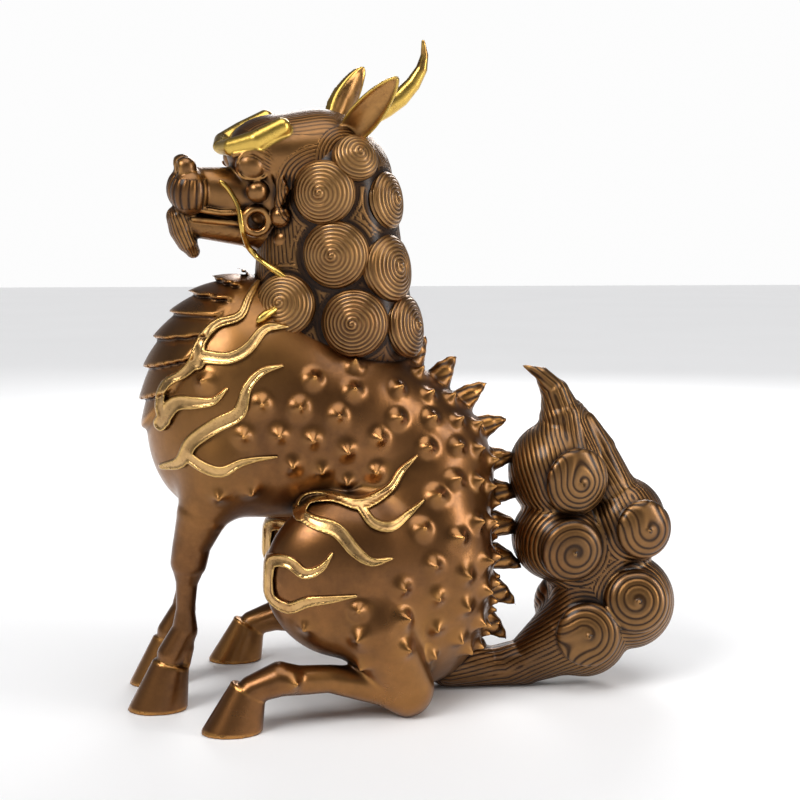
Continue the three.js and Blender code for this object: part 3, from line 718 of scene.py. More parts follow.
    @staticmethod
    def bare(p: Array, facing: Array) -> Array:
        """Where no knob is wanted: under hair, on plates, below and inside.

        Args:
            p: where it is wanted, one row a point.
            facing: the outward direction at each point.

        Returns:
            True where no knob is wanted.
        """
        on_plates = p[:, 0] < -66 - (197 - p[:, 2]) * 0.68
        t = np.clip((p[:, 0] + 50) / 70, 0, 1)
        under_hair = p[:, 2] > 163 - 13 * t
        below = (p[:, 2] < 22) | (facing[:, 2] < -0.72) | ((p[:, 0] < -84) & (p[:, 2] < 92))
        inner = (np.abs(p[:, 1]) < 8) & (p[:, 0] < 0)
        return on_plates | under_hair | below | inner

    def knobs(self, flesh: Form) -> list[tuple[Array, Array, Row]]:
        """Seats the knobs on the flesh, row by row.

        Args:
            flesh: what they stand on.

        Returns:
            Each knob's seat, the outward direction there, and its row.
        """
        line = Curve(self.trunk_line)
        taken: list[Array] = []
        found = []
        for number, row in enumerate(self.rows):
            angle = math.radians(row.away)
            count = int(line.length * (1 + 0.35 * math.sin(angle)) // row.pitch)
            u = (np.arange(count) + (0.25 if number % 2 else 0.75)) / count
            middle, run = line.at(u), line.run(u)
            back = np.stack([-run[:, 2], np.zeros(count), run[:, 0]], axis=1)
            sides = []
            for side in (-1, 1):
                out = back * math.cos(angle) + np.array([0, side * math.sin(angle), 0])
                seat, met = strike(flesh, middle + out * 95, -out, 95)
                facing = slope(flesh, seat)
                met &= ~self.bare(seat, facing) & ~beside_flame(seat, row.radius - 0.5)
                sides.append((seat, facing, met))
            for i in range(count):
                for seat, facing, met in sides:
                    crowded = any(np.linalg.norm(other - seat[i]) < row.pitch * 0.66 for other in taken)
                    if met[i] and not crowded:
                        taken.append(seat[i])
                        found.append((seat[i], facing[i], row))
        return found

    def thorns(self) -> list[tuple[Form, Array, float]]:
        """Sets the thorns along the ridge of the back.

        Returns:
            Each thorn with its foot and its reach.
        """
        ridge = Curve(self.ridge_line)
        found = []
        for along in np.arange(12.4, ridge.length - 6, self.thorn_pitch):
            u = along / ridge.length
            foot, down = ridge.at(u)[0], ridge.run(u)[0]
            out = np.array([-down[2], 0, down[0]])
            lean = -0.15 + 0.75 * u
            aim = out * math.cos(lean) + down * math.sin(lean)
            size = self.thorn_length * (0.85 + 0.15 * float(smoothstep(np.array(u), 0, 0.25)))
            stations = []
            for t, radius, bow in ((-0.2, 6.8, 0), (0.25, 5, 0.6), (0.68, 2.8, 0.6), (0.98, 0.6, 0)):
                p = foot + aim * t * size - down * bow
                stations.append((p[0], 0.0, p[2], radius))
            found.append((limb(stations, 0.8), foot, size + 9))
        return found

    def clay(self) -> tuple[Clay, Clay]:
        """Samples the body.

        Returns:
            The body's samples, and those of its flesh alone.
        """
        flesh = self.flesh()
        bare = Clay(flesh, (-136, -68, -4), (60, 68, 204), self.cell)
        clay = bare.copy()
        for seat, facing, row in self.knobs(flesh):
            base, peak = seat - facing, seat + facing * (row.height - 1)
            cone = limb([(*base, row.radius), (*peak, 0.9)])
            clay.add(cone, seat, row.radius + row.height + 4, 3.4)
        for thorn, foot, reach in self.thorns():
            clay.add(thorn, foot, reach, 1.5)
        return clay, bare

    def flutes(self, points: Array) -> Array:
        """Strand values of the flutes that run up each thorn.

        Args:
            points: where it is wanted, one row a point.

        Returns:
            One strand value a point.
        """
        strand = np.tile([1.0, 0.0, 0.0], (len(points), 1))
        nearest = np.full(len(points), np.inf)
        for thorn, foot, reach in self.thorns():
            away = thorn(*points.T)
            down = slope(thorn, foot[None] + np.array([[0.0, 0.0, 0.0]]))[0]
            rel = points - foot
            mine = (away < 1.2) & (away < nearest)
            turn = np.arctan2(rel[:, 1], rel[:, 2] * 0.8 - rel[:, 0] * 0.2)
            strand[mine] = comb(turn[mine] * 6 / (2 * np.pi), 1.3)
            nearest = np.minimum(nearest, away)
        return strand

    def shell(self, clay: Clay, flesh: Clay, around: Sequence[Clay]) -> "Shell":
        """The body's mesh with its masks.

        Args:
            clay: the body's samples.
            flesh: those of its flesh alone.
            around: samples of everything near it, for the hollows.

        Returns:
            The mesh.
        """
        points, quads = clay.skin()
        facing = clay.facing(points)
        relief = read_relief(points, facing, clay, around)
        shown, part = self.plates(points[:, 0], points[:, 2])
        # each plate's lip is lightened: painted highlight along its edge, along with worn patina
        lip = shown * smoothstep(part, 0.72, 0.92) * smoothstep(-part, -1.0, -0.96)
        relief[:, 0] = np.maximum(relief[:, 0], lip)
        # just past each lip, where it drops to the next plate, the colour is darkened: painted shadow cast by the lip
        relief[:, 1] = np.maximum(relief[:, 1], shown * (1 - smoothstep(part, 0.0, 0.16)) * 0.8)
        # how far knobs and thorns stand off the flesh; their tips are lightened as painted highlight, along with worn
        # patina
        proud = np.clip(flesh.at(points) / 4.5, 0, 1)
        ground = np.stack([proud, np.zeros(len(points)), np.zeros(len(points))], axis=1)
        return Shell(points, quads, facing=facing, relief=relief, strand=self.flutes(points), ground=ground)


@dataclass
class Shell:
    """A mesh in the making: vertices and faces in millimetres, with what the finishes need to know of each vertex."""

    points: Array
    quads: Array
    triangles: Array = field(default_factory=lambda: np.zeros((0, 3), int))
    facing: Array | None = None  # outward directions to shade with, or none to take them from the faces
    relief: Array | None = None  # how sharp (lightened as painted highlight with worn patina), how deep (darkened as painted shade with darker patina) and how polished the spot is, each from 0 to 1
    strand: Array | None = None  # cosine and sine of the place across a strand, and the strand's depth
    ground: Array | None = None  # how far the spot stands proud (lightened as painted highlight, along with worn patina), and how coarse the ground is, from 0 to 1

    def side(self, half: int) -> "Shell":
        """The faces on one side of the middle plane, with their vertices.

        Args:
            half: 1 for the +Y side and -1 for the other.

        Returns:
            A shell with those faces alone.
        """
        middle = self.points[self.quads, 1].mean(axis=1)
        keep = self.quads[(middle >= 0) if half > 0 else (middle < 0)]
        used, number = np.unique(keep, return_inverse=True)
        parts = [None if a is None else a[used] for a in (self.facing, self.relief, self.strand, self.ground)]
        return Shell(self.points[used], number.reshape(keep.shape), self.triangles, *parts)

    def place(self, name: str, finish: "Brass") -> bpy.types.Object:
        """Makes the object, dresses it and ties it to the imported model.

        Args:
            name: the object's name.
            finish: what it is dressed in.

        Returns:
            The object, linked to the scene.
        """
        mesh = bpy.data.meshes.new(name)
        mesh.vertices.add(len(self.points))
        mesh.vertices.foreach_set("co", ((self.points - CENTRE) * MILLIMETRE).astype(np.float32).ravel())
        corners = np.concatenate([self.quads.ravel(), self.triangles.ravel()]).astype(np.int32)
        sides = np.concatenate([np.full(len(self.quads), 4), np.full(len(self.triangles), 3)]).astype(np.int32)
        mesh.loops.add(len(corners))
        mesh.loops.foreach_set("vertex_index", corners)
        mesh.polygons.add(len(sides))
        mesh.polygons.foreach_set("loop_start", (np.cumsum(sides) - sides).astype(np.int32))
        mesh.polygons.foreach_set("loop_total", sides)
        mesh.update(calc_edges=True)
        mesh.shade_smooth()
        for key, values in (("relief", self.relief), ("strand", self.strand), ("ground", self.ground)):
            values = np.zeros((len(self.points), 3)) if values is None else values
            layer = mesh.attributes.new(key, "FLOAT_VECTOR", "POINT")
            layer.data.foreach_set("vector", values.astype(np.float32).ravel())
        if self.facing is not None:
            mesh.normals_split_custom_set_from_vertices(self.facing.tolist())
        mesh.materials.append(finish.material())
        piece = bpy.data.objects.new(name, mesh)
        bpy.context.scene.collection.objects.link(piece)
        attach(piece, "root")
        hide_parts(NODE)
        log.info("%s: %d triangles", name, 2 * len(self.quads) + len(self.triangles))
        return piece


def combine(shells: Sequence[Shell]) -> Shell:
    """Shells put together in one mesh.

    Args:
        shells: what is put together.

    Returns:
        The one shell.
    """
    points, quads, triangles, first = [], [], [], 0
    for shell in shells:
        points.append(shell.points)
        quads.append(shell.quads + first)
        triangles.append(shell.triangles + first)
        first += len(shell.points)
    extra = []
    for key in ("relief", "strand", "ground"):
        values = [getattr(s, key) for s in shells]
        extra.append(None if values[0] is None else np.vstack(values))
    return Shell(np.vstack(points), np.vstack(quads), np.vstack(triangles), None, *extra)


def read_relief(points: Array, facing: Array, own: Clay, around: Sequence[Clay]) -> Array:
    """How sharp and how deep each spot is; the finishes lighten sharp spots as painted highlight and darken deep ones
    as painted shade, along with the patina's own tone there.

    Args:
        points: spots on the surface.
        facing: outward directions there.
        own: the form that they lie on.
        around: all forms that can shade them.

    Returns:
        Sharpness and depth from 0 to 1, and a third value of 0, a row for each spot.
    """
    sharp = np.zeros(len(points))
    deep = np.zeros(len(points))
    for reach, share in ((0.9, 0.3), (2.0, 0.7)):
        sharp += share * (1 + own.at(points - facing * reach) / reach)
    # how near other forms come over each spot; the finishes darken such spots near-black as painted shade, along with
    # darker patina
    for reach, share in ((1.5, 0.4), (4.0, 0.6)):
        spot = points + facing * reach
        nearest = np.minimum.reduce([clay.at(spot) for clay in around])
        deep += share * (1 - nearest / reach)
    relief = np.stack([sharp * 1.6, deep, np.zeros(len(points))], axis=1)
    return np.clip(relief, 0, 1)


def comb(count: Array, depth: Array) -> Array:
    """Strand values from the number of strands counted across the hair, and the strands' depth."""
    return np.stack([np.cos(2 * np.pi * count), np.sin(2 * np.pi * count), np.broadcast_to(depth, count.shape)], axis=1)


def ridge(count: Array) -> Array:
    """Height across strands, from 0 in the groove to 1 on the crest."""
    return np.abs(np.cos(np.pi * count)) ** 0.7


# The head, in its own upright coordinates, and how it turns

HEAD_PIVOT = np.array([-35.0, 0.0, 240.0])
HEAD_TURN = math.radians(12)
HEAD_TILT = math.radians(11)


def head_axes() -> Array:
    """The turned head's axes, as columns.

    Returns:
        A matrix with one axis a column.
    """
    ct, st = math.cos(HEAD_TURN), math.sin(HEAD_TURN)
    cl, sl = math.cos(HEAD_TILT), math.sin(HEAD_TILT)
    return np.array([[ct, -st, 0], [st, ct, 0], [0, 0, 1]]) @ np.array([[1, 0, 0], [0, cl, -sl], [0, sl, cl]])


def to_head(points: Array) -> Array:
    """Points in the head's upright coordinates."""
    return (points - HEAD_PIVOT) @ head_axes() + HEAD_PIVOT


def from_head(points: Array) -> Array:
    """Points given in the head's upright coordinates, where the head looks."""
    return (points - HEAD_PIVOT) @ head_axes().T + HEAD_PIVOT


def turned(form: Form) -> Form:
    """A form made in the head's upright coordinates, turned to where the head looks.

    Args:
        form: the upright form.

    Returns:
        The turned form.
    """
    axes = head_axes()
    px, py, pz = HEAD_PIVOT

    def distance(x: Array, y: Array, z: Array) -> Array:
        """Distance to the turned form.

        Args:
            x: distances along X.
            y: distances along Y.
            z: heights.

        Returns:
            One distance a point, negative inside.
        """
        dx, dy, dz = x - px, y - py, z - pz
        return form(
            axes[0, 0] * dx + axes[1, 0] * dy + axes[2, 0] * dz + px,
            axes[0, 1] * dx + axes[1, 1] * dy + axes[2, 1] * dz + py,
            axes[0, 2] * dx + axes[1, 2] * dy + axes[2, 2] * dz + pz,
        )

    return distance


@dataclass(frozen=True)
class Head:
    """Skull, muzzle, beard, brows, eyes, ears and horn."""

    cell: float = 0.56
    strand_pitch: float = 1.6
    pleat_pitch: float = 2.6
    ear_root: Point = (-27, 14, 262)
    ear_tip: Point = (-12, 29, 287)

    def skull(self) -> Form:
        """Cranium, cheeks and throat."""
        return blend(
            [
                egg((-55.5, 0, 250.5), (24, 22.5, 17)),
                egg((-38, 0, 248), (25, 24, 22.5)),
                egg((-60, 0, 232), (17, 17.5, 22)),
                egg((-54, 0, 213), (13, 15, 13)),
            ],
            5,
        )

    def muzzle(self) -> Form:
        """Bridge of the nose, lip pads, nostrils and lower jaw."""
        return blend(
            [
                limb([(-70, 0, 231, 13), (-92, 0, 234, 9.5)]),
                pair(egg((-96.5, 5.5, 233), (8.8, 8, 10))),
                pair(egg((-98.5, 4.2, 244), (4.8, 4.8, 4.6))),
            ],
            1.6,
        )

    @staticmethod
    def jaw() -> Form:
        """The lower jaw."""
        return limb([(-66, 0, 216, 8.5), (-90, 0, 218, 6.3), (-100, 0, 221, 5)], 1.2)

    @staticmethod
    def beard() -> Form:
        """The leaf-shaped beard under the chin."""
        return limb([(-101.2, 0, 221.5, 4.8), (-99.6, 0, 215.5, 5.1), (-96.6, 0, 210, 4.6), (-94, 0, 206, 3.2)], 1.5)

    @staticmethod
    def brow() -> Form:
        """The two thick brow rolls."""
        return pair(
            limb([(-82.5, 2, 252.5, 3), (-79.5, 10, 253.8, 4), (-70, 16, 257.5, 4.6), (-59, 16, 263.5, 4.2)])
        )

    @staticmethod
    def horn() -> Form:
        """The single horn, sweeping back and then up."""
        return limb(
            [
                (-24, 0, 263, 5),
                (-7.5, 0, 271.7, 4.6),
                (-0.7, 0, 276.3, 4.2),
                (5, 0, 282.6, 3.5),
                (8.8, 0, 289.5, 2.7),
                (9.8, 0, 295.5, 1.8),
                (8.8, 0, 301.6, 0.9),
            ]
        )

    def leaf(self, x: Array, y: Array, z: Array) -> tuple[Array, Array, Array, Array]:
        """Places points on an ear's leaf.

        Args:
            x: distances along X.
            y: distances along Y.
            z: heights.

        Returns:
            The way along it, across it and above it, and its half width there.
        """
        root, tip = np.array(self.ear_root), np.array(self.ear_tip)
        along = tip - root
        length = np.linalg.norm(along)
        along = along / length
        hollow = np.array([-0.35, 0.85, -0.1])
        hollow = hollow - along * (hollow @ along)
        hollow = hollow / np.linalg.norm(hollow)
        across = np.cross(hollow, along)
        dx, dy, dz = x - root[0], np.abs(y) - root[1], z - root[2]
        t = (dx * along[0] + dy * along[1] + dz * along[2]) / length
        u = dx * across[0] + dy * across[1] + dz * across[2]
        w = dx * hollow[0] + dy * hollow[1] + dz * hollow[2]
        half = 7.6 * np.sqrt(np.maximum(np.sin(np.pi * np.clip(0.18 + 0.82 * t, 0, 1)), 0)) * (1 - 0.25 * t)
        return t, u, w, half

    def ear(self, x: Array, y: Array, z: Array) -> Array:
        """Distance to the two leaf-shaped ears, hollow towards the sides.

        Args:
            x: distances along X.
            y: distances along Y.
            z: heights.

        Returns:
            One distance a point, negative inside.
        """
        t, u, w, half = self.leaf(x, y, z)
        length = 32.8
        thick = 1.7 - 0.7 * np.clip(t, 0, 1) + 0.5 * smoothstep(np.abs(u), half - 2.2, half - 0.4)
        sheet = np.abs(w - u * u / 14.0 + 2) - thick
        return np.maximum(np.maximum(sheet, np.abs(u) - half), np.maximum(-t * length - 3, (t - 1) * length)) * 0.85

    def small_forms(self) -> list[tuple[Form, Point, float, float]]:
        """Forms on the face, made on the +Y side.

        Returns:
            Each form with its middle, its reach and its fillet.
        """
        forms: list[tuple[Form, Point, float, float]] = [
            (egg((-71.5, 14, 246.5), (7, 6.5, 6.6)), (-71.5, 14, 246.5), 10, 0.5),
            (limb([(-79, 14, 251, 1.4), (-71, 18.5, 253.6, 1.9), (-61.5, 20, 248, 1.5)]), (-70, 17, 250), 14, 0.8),
            (limb([(-61, 19.2, 244, 2), (-58.6, 20.5, 237, 2.9), (-60, 19.2, 230.5, 2)]), (-60, 20, 237), 12, 1.2),
            (limb([(-94, 8.5, 226.5, 1.5), (-84, 9.6, 225, 1.5), (-75, 11.5, 225.5, 1.3)]), (-84, 10, 225.5), 14, 0.8),
            (limb([(-95, 6.6, 221.8, 1.4), (-84, 8.2, 221, 1.5), (-75, 10.5, 220.5, 1.3)]), (-84, 9, 221), 14, 0.8),
        ]
        lower_lid = []
        upper_lid = []
        for turn in range(0, 181, 20):
            angle = math.radians(turn)
            c, s = math.cos(angle), math.sin(angle)
            upper_lid.append((-71.5 + 6.6 * c, 14 + 6.5 * math.sqrt(1 - 0.78) + 0.2, 248.2 + 4.6 * s, 0.75))
            lower_lid.append((-71.5 + 6.2 * c, 14 + 6.5 * math.sqrt(1 - 0.66) + 0.1, 243.6 - 2.4 * s, 0.7))
        forms.append((limb(upper_lid), (-71.5, 18, 249), 11, 0.6))
        forms.append((limb(lower_lid), (-71.5, 18, 244), 11, 0.6))
        for x, y, z, r in ((-69, 16.5, 235.7, 5), (-58.3, 17.5, 224.8, 5), (-50, 18.5, 221, 4.6), (-55.7, 15.5, 214, 5.4)):
            forms.append((egg((x, y, z), (r, r, r)), (x, y, z), r + 3, 0.9))

        def scroll(x: Array, y: Array, z: Array) -> Array:
            """Distance to the curl behind the corner of the mouth."""
            around = np.hypot(x + 69, z - 222.6) - 5.4
            return np.hypot(around, (y - 15.5) * 0.7) - 1.9

        forms.append((scroll, (-69, 15.5, 222.6), 11, 0.8))
        return forms

    def clay(self) -> Clay:
        """The head's samples.

        Returns:
            The samples.
        """
        large = blend([self.skull(), self.muzzle(), self.jaw()], 1.6)
        bristle = blend([self.beard(), self.brow()], 1)
        clay = Clay(
            turned(lambda x, y, z: melt(large(x, y, z), bristle(x, y, z), 1.4)),
            (-112, -42, 196),
            (16, 42, 304),
            self.cell,
            4.0,
        )
        for form, middle, reach, fillet in self.small_forms():
            for side in (-1, 1):
                centre = from_head(np.array([[middle[0], side * middle[1], middle[2]]]))[0]
                clay.add(turned(pair(form)), centre, reach, fillet)
        for side in (-1, 1):
            for middle, radii in (
                ((-69, 18.5, 222.6), (3.4, 6, 3.4)),
                ((-102.8, 4.6, 243.6), (2.2, 2.3, 2.6)),
            ):
                centre = (middle[0], side * middle[1], middle[2])
                clay.carve(turned(egg(centre, radii)), from_head(np.array([centre]))[0], 9, 0.8)
            mouth = limb([(-97, side * 9, 223.6, 0.9), (-84, side * 11, 223.1, 1.1), (-76, side * 13.5, 223, 1.0)])
            clay.carve(turned(mouth), from_head(np.array([[-86, side * 11, 223.3]]))[0], 14, 0.5)
            root = np.array([[-20, side * 21, 274]])
            clay.add(turned(self.ear), from_head(root)[0], 26, 1.6)
        clay.add(turned(self.horn()), from_head(np.array([[-6, 0, 281]]))[0], 30, 1.6)
        return clay

    def strands(self, points: Array, whorls: Sequence["Lock"]) -> Array:
        """Strand values of the hair on the head, the pleats of the lip and the beard.

        Args:
            points: where it is wanted, one row a point.
            whorls: the mane's locks whose hair reaches the head.

        Returns:
            One strand value a point.
        """
        x, y, z = to_head(points).T
        side = np.abs(y)
        sag = 252 - 5.5 * (1 - ((x + 50) / 17) ** 2)
        cap = (z - sag) / self.strand_pitch
        depth = smoothstep(x, -70, -64) * smoothstep(z, 244, 247) * smoothstep(-z, -264, -260) * smoothstep(side, 6, 12)
        depth = depth * smoothstep(-self.eye_reach(x, side, z), -2.5, -0.5)
        strand = comb(cap, depth)
        crown = (z > 261) & (x > -78)
        strand[crown] = comb(y[crown] / 2.0, 0.45)
        turn = np.arctan2(y, x + 42)
        back = x > -34
        strand[back] = comb(turn[back] * 24 / 1.7, 0.8)
        beard = self.beard()(x, y, z) < 0.9
        middle = -101 + (221.5 - z) * 0.42
        strand[beard] = comb(np.arctan2(side, middle - x)[beard] * 5.2 / 1.35, 1.0)
        pad = (x < -89.5) & (z > 226.5) & (z < 239.5)
        strand[pad] = comb(np.arctan2(side, -92 - x)[pad] * 10.5 / self.pleat_pitch, 1.8)
        for whorl in whorls:
            away = np.linalg.norm(points - whorl.seat, axis=1)
            near = (away < whorl.radius + 7) & (x > -62) & ~beard
            strand[near] = whorl.around(points[near], self.strand_pitch, 1.0)
        bare = (self.ear(x, y, z) < 0.8) | (self.horn()(x, y, z) < 0.8) | (self.brow()(x, y, z) < 0.4)
        strand[bare, 2] = 0
        return strand

    @staticmethod
    def eye_reach(x: Array, side: Array, z: Array) -> Array:
        """Distance to the eye and the cheek in front of the hair."""
        eye = egg((-71.5, 14, 246.5), (7.6, 7, 7.2))(x, side, z)
        return np.minimum(eye, x + 66)

    def shell(self, clay: Clay, around: Sequence[Clay], whorls: Sequence["Lock"]) -> Shell:
        """The head's mesh with its masks.

        Args:
            clay: the head's samples.
            around: samples of everything near it, for the hollows.
            whorls: the mane's locks whose hair reaches the head.

        Returns:
            The mesh.
        """
        points, quads = clay.skin()
        facing = clay.facing(points)
        relief = read_relief(points, facing, clay, around)
        x, y, z = to_head(points).T
        gold = 1 - smoothstep(self.brow()(x, y, z), 0.3, 1.4)
        gold = np.maximum(gold, 0.85 * (1 - smoothstep(self.horn()(x, y, z), 0.3, 1.2)))
        t, u, _, half = self.leaf(x, y, z)
        rim = smoothstep(np.abs(u), half - 1.7, half - 0.6) * (self.ear(x, y, z) < 1.2) * smoothstep(t, 0.02, 0.15)
        relief[:, 2] = np.maximum(gold, rim * 0.9)
        strand = self.strands(points, whorls)
        coarse = 1 - smoothstep(self.jaw()(x, y, z), 0.4, 1.4)
        ground = np.stack([np.zeros(len(x)), coarse, np.zeros(len(x))], axis=1)
        count = np.arctan2(strand[:, 1], strand[:, 0]) / (2 * np.pi)
        points = points - facing * ((1 - ridge(count)) * strand[:, 2] * 0.22)[:, None]
        return Shell(points, quads, facing=facing, relief=relief, strand=strand, ground=ground)


@dataclass(frozen=True)
class Lock:
    """A coiled lock: a thick button of hair wound in to its eye."""

    seat: Array
    outward: Array
    radius: float
    height: float
    side: int
    pitch: float = 1.85
    rings: int = 54
    spokes: int = 72

    def axes(self) -> tuple[Array, Array]:
        """Directions along the surface: sideways and up.

        Returns:
            The two unit directions.
        """
        right = np.cross([0.0, 0.0, 1.0], self.outward)
        right /= np.linalg.norm(right)
        return right, np.cross(self.outward, right)

    def around(self, points: Array, pitch: float, depth: float) -> Array:
        """Strand values of hair that winds round this lock.

        Args:
            points: where it is wanted, one row a point.
            pitch: from one strand to the next.
            depth: how deep the grooves are, from 0 to 1.

        Returns:
            One strand value a point.
        """
        right, up = self.axes()
        away = points - self.seat
        u, v = away @ right, away @ up
        return comb((np.hypot(u, v) - self.radius) / pitch - self.side * np.arctan2(v, u) / (2 * np.pi), depth)

    def profile(self) -> tuple[Array, Array, Array]:
        """Walks the lock's section from its eye to its foot.

        Returns:
            Radius and height at each step, and the way walked so far.
        """
        q = np.linspace(0, np.pi / 2, 60)
        r = self.radius * np.sin(q)
        h = self.height * np.cos(q) ** 0.62 + 1.5 * np.exp(-((r / 1.9) ** 2))
        foot = np.linspace(0, 1, 12)[1:]
        r = np.concatenate([r, self.radius - 1.4 * foot])
        h = np.concatenate([h, -6.5 * foot])
        walked = np.concatenate([[0], np.cumsum(np.hypot(np.diff(r), np.diff(h)))])
        return r, h, walked

    def shell(self) -> Shell:
        """The lock's mesh with its masks.

        Returns:
            The mesh.
        """
        r, h, walked = self.profile()
        s = np.linspace(0, walked[-1], self.rings + 1)[1:]
        r, h = np.interp(s, walked, r), np.interp(s, walked, h)
        run = np.stack([np.gradient(r), np.gradient(h)], axis=1)
        run /= np.linalg.norm(run, axis=1, keepdims=True)
        turn = np.arange(self.spokes) * 2 * np.pi / self.spokes
        count = s[:, None] / self.pitch - self.side * turn[None] / (2 * np.pi)
        raised = (ridge(count) - 1) * 0.5 * smoothstep(s, 0.5, 2.0)[:, None]
        away = r[:, None] - run[:, 1:] * raised
        high = h[:, None] + run[:, :1] * raised
        u, v = away * np.cos(turn), away * np.sin(turn)
        high = high - u * u / 62 - v * v / 160
        right, up = self.axes()
        points = self.seat + u[..., None] * right + v[..., None] * up + high[..., None] * self.outward
        top = self.seat + self.outward * (self.height + 1.5)
        bottom = self.seat - self.outward * 7.5
        number = np.arange(self.rings * self.spokes).reshape(self.rings, self.spokes)
        after = np.roll(number, -1, axis=1)
        quads = np.stack([number[:-1], number[1:], after[1:], after[:-1]], axis=-1).reshape(-1, 4)
        peak, base = number.size, number.size + 1
        first = np.stack([np.full(self.spokes, peak), number[0], after[0]], axis=1)
        last = np.stack([number[-1], np.full(self.spokes, base), after[-1]], axis=1)
        strand = comb(count.ravel(), 0.35)
        # the strands' crests are lightened: painted highlight, along with worn patina
        sharp = (ridge(count) ** 3 * 0.55).ravel()
        # the lock's foot, tucked down under its rim, is darkened: painted shade
        fall = smoothstep(-h, -0.5, 4.5)[:, None] * np.ones(self.spokes)
        relief = np.stack([sharp * (1 - fall.ravel()), fall.ravel() * 0.75, np.zeros(number.size)], axis=1)
        return Shell(
            np.vstack([points.reshape(-1, 3), top, bottom]),
            quads,
            np.vstack([first, last]),
            # the tip is lightened as painted highlight, and the buried bottom darkened as painted shade
            relief=np.vstack([relief, [0.6, 0, 0], [0, 1, 0]]),
            strand=np.vstack([strand, [1, 0, 0], [1, 0, 0]]),
            ground=np.zeros((number.size + 2, 3)),
        )


@dataclass(frozen=True)
class Mane:
    """Hair on the neck: slanting strands with coiled locks seated on them."""

    cell: float = 0.92
    strand_pitch: float = 1.9
    locks: tuple[tuple[float, float, float], ...] = (
        (-8, 232, 14.2),
        (24, 247, 10.5),
        (56, 229, 12.8),
        (-6, 205, 15.2),
        (47, 199, 15.2),
        (-52, 183, 14.2),
        (2, 175, 15.2),
        (58, 173, 14.2),
    )

    def neck(self) -> Form:
        """The neck under the hair."""
        return blend(
            [
                limb([(-48, 0, 160, 27), (-44, 0, 190, 23), (-42, 0, 225, 22)]),
                limb([(-18, 0, 170, 25), (-23.5, 0, 205, 24.5), (-29, 0, 238, 25.5)], 1.15),
            ],
            8,
        )

    def seats(self) -> list[Lock]:
        """The locks, each set square on the neck.

        Returns:
            The locks of both sides.
        """
        neck = self.neck()
        found = []
        for side in (-1, 1):
            for degrees, height, radius in self.locks:
                turn = math.radians(degrees)
                out = np.array([math.sin(turn), side * math.cos(turn), 0.0])
                axis = np.array([-24 - 10 * min(max((height - 172) / 68, 0), 1), 0, height])
                seat, _ = strike(neck, (axis + out * 70)[None], -out[None], 90)
                outward = slope(neck, seat)[0]
                proud = 5.2 if degrees > 40 else 6.6
                found.append(Lock(seat[0], outward, radius, proud, side))
        return found

    def shell(self, clay: Clay, around: Sequence[Clay], locks: Sequence[Lock]) -> Shell:
        """The strands between the locks.

        Args:
            clay: the neck's samples.
            around: samples of everything near it, for the hollows.
            locks: the locks that the strands wind round.

        Returns:
            The mesh.
        """
        points, quads = clay.skin()
        facing = clay.facing(points)
        relief = read_relief(points, facing, clay, around)
        turn = np.arctan2(points[:, 1], points[:, 0] + 36)
        strand = comb(turn * 25 / self.strand_pitch + points[:, 2] / 17, 1.0)
        nearest = np.full(len(points), np.inf)
        for lock in locks:
            away = np.linalg.norm(points - lock.seat, axis=1) - lock.radius
            mine = (away < 4.5) & (away < nearest)
            strand[mine] = lock.around(points[mine], self.strand_pitch, 1.0)
            nearest = np.minimum(nearest, away)
        # the hair close round each lock's foot is darkened: painted shade
        relief[:, 1] = np.maximum(relief[:, 1], 0.85 * (1 - smoothstep(nearest, 0.0, 4.0)))
        count = np.arctan2(strand[:, 1], strand[:, 0]) / (2 * np.pi)
        points = points - facing * ((1 - ridge(count)) * 0.3)[:, None]
        return Shell(points, quads, facing=facing, relief=relief, strand=strand, ground=np.zeros_like(points))


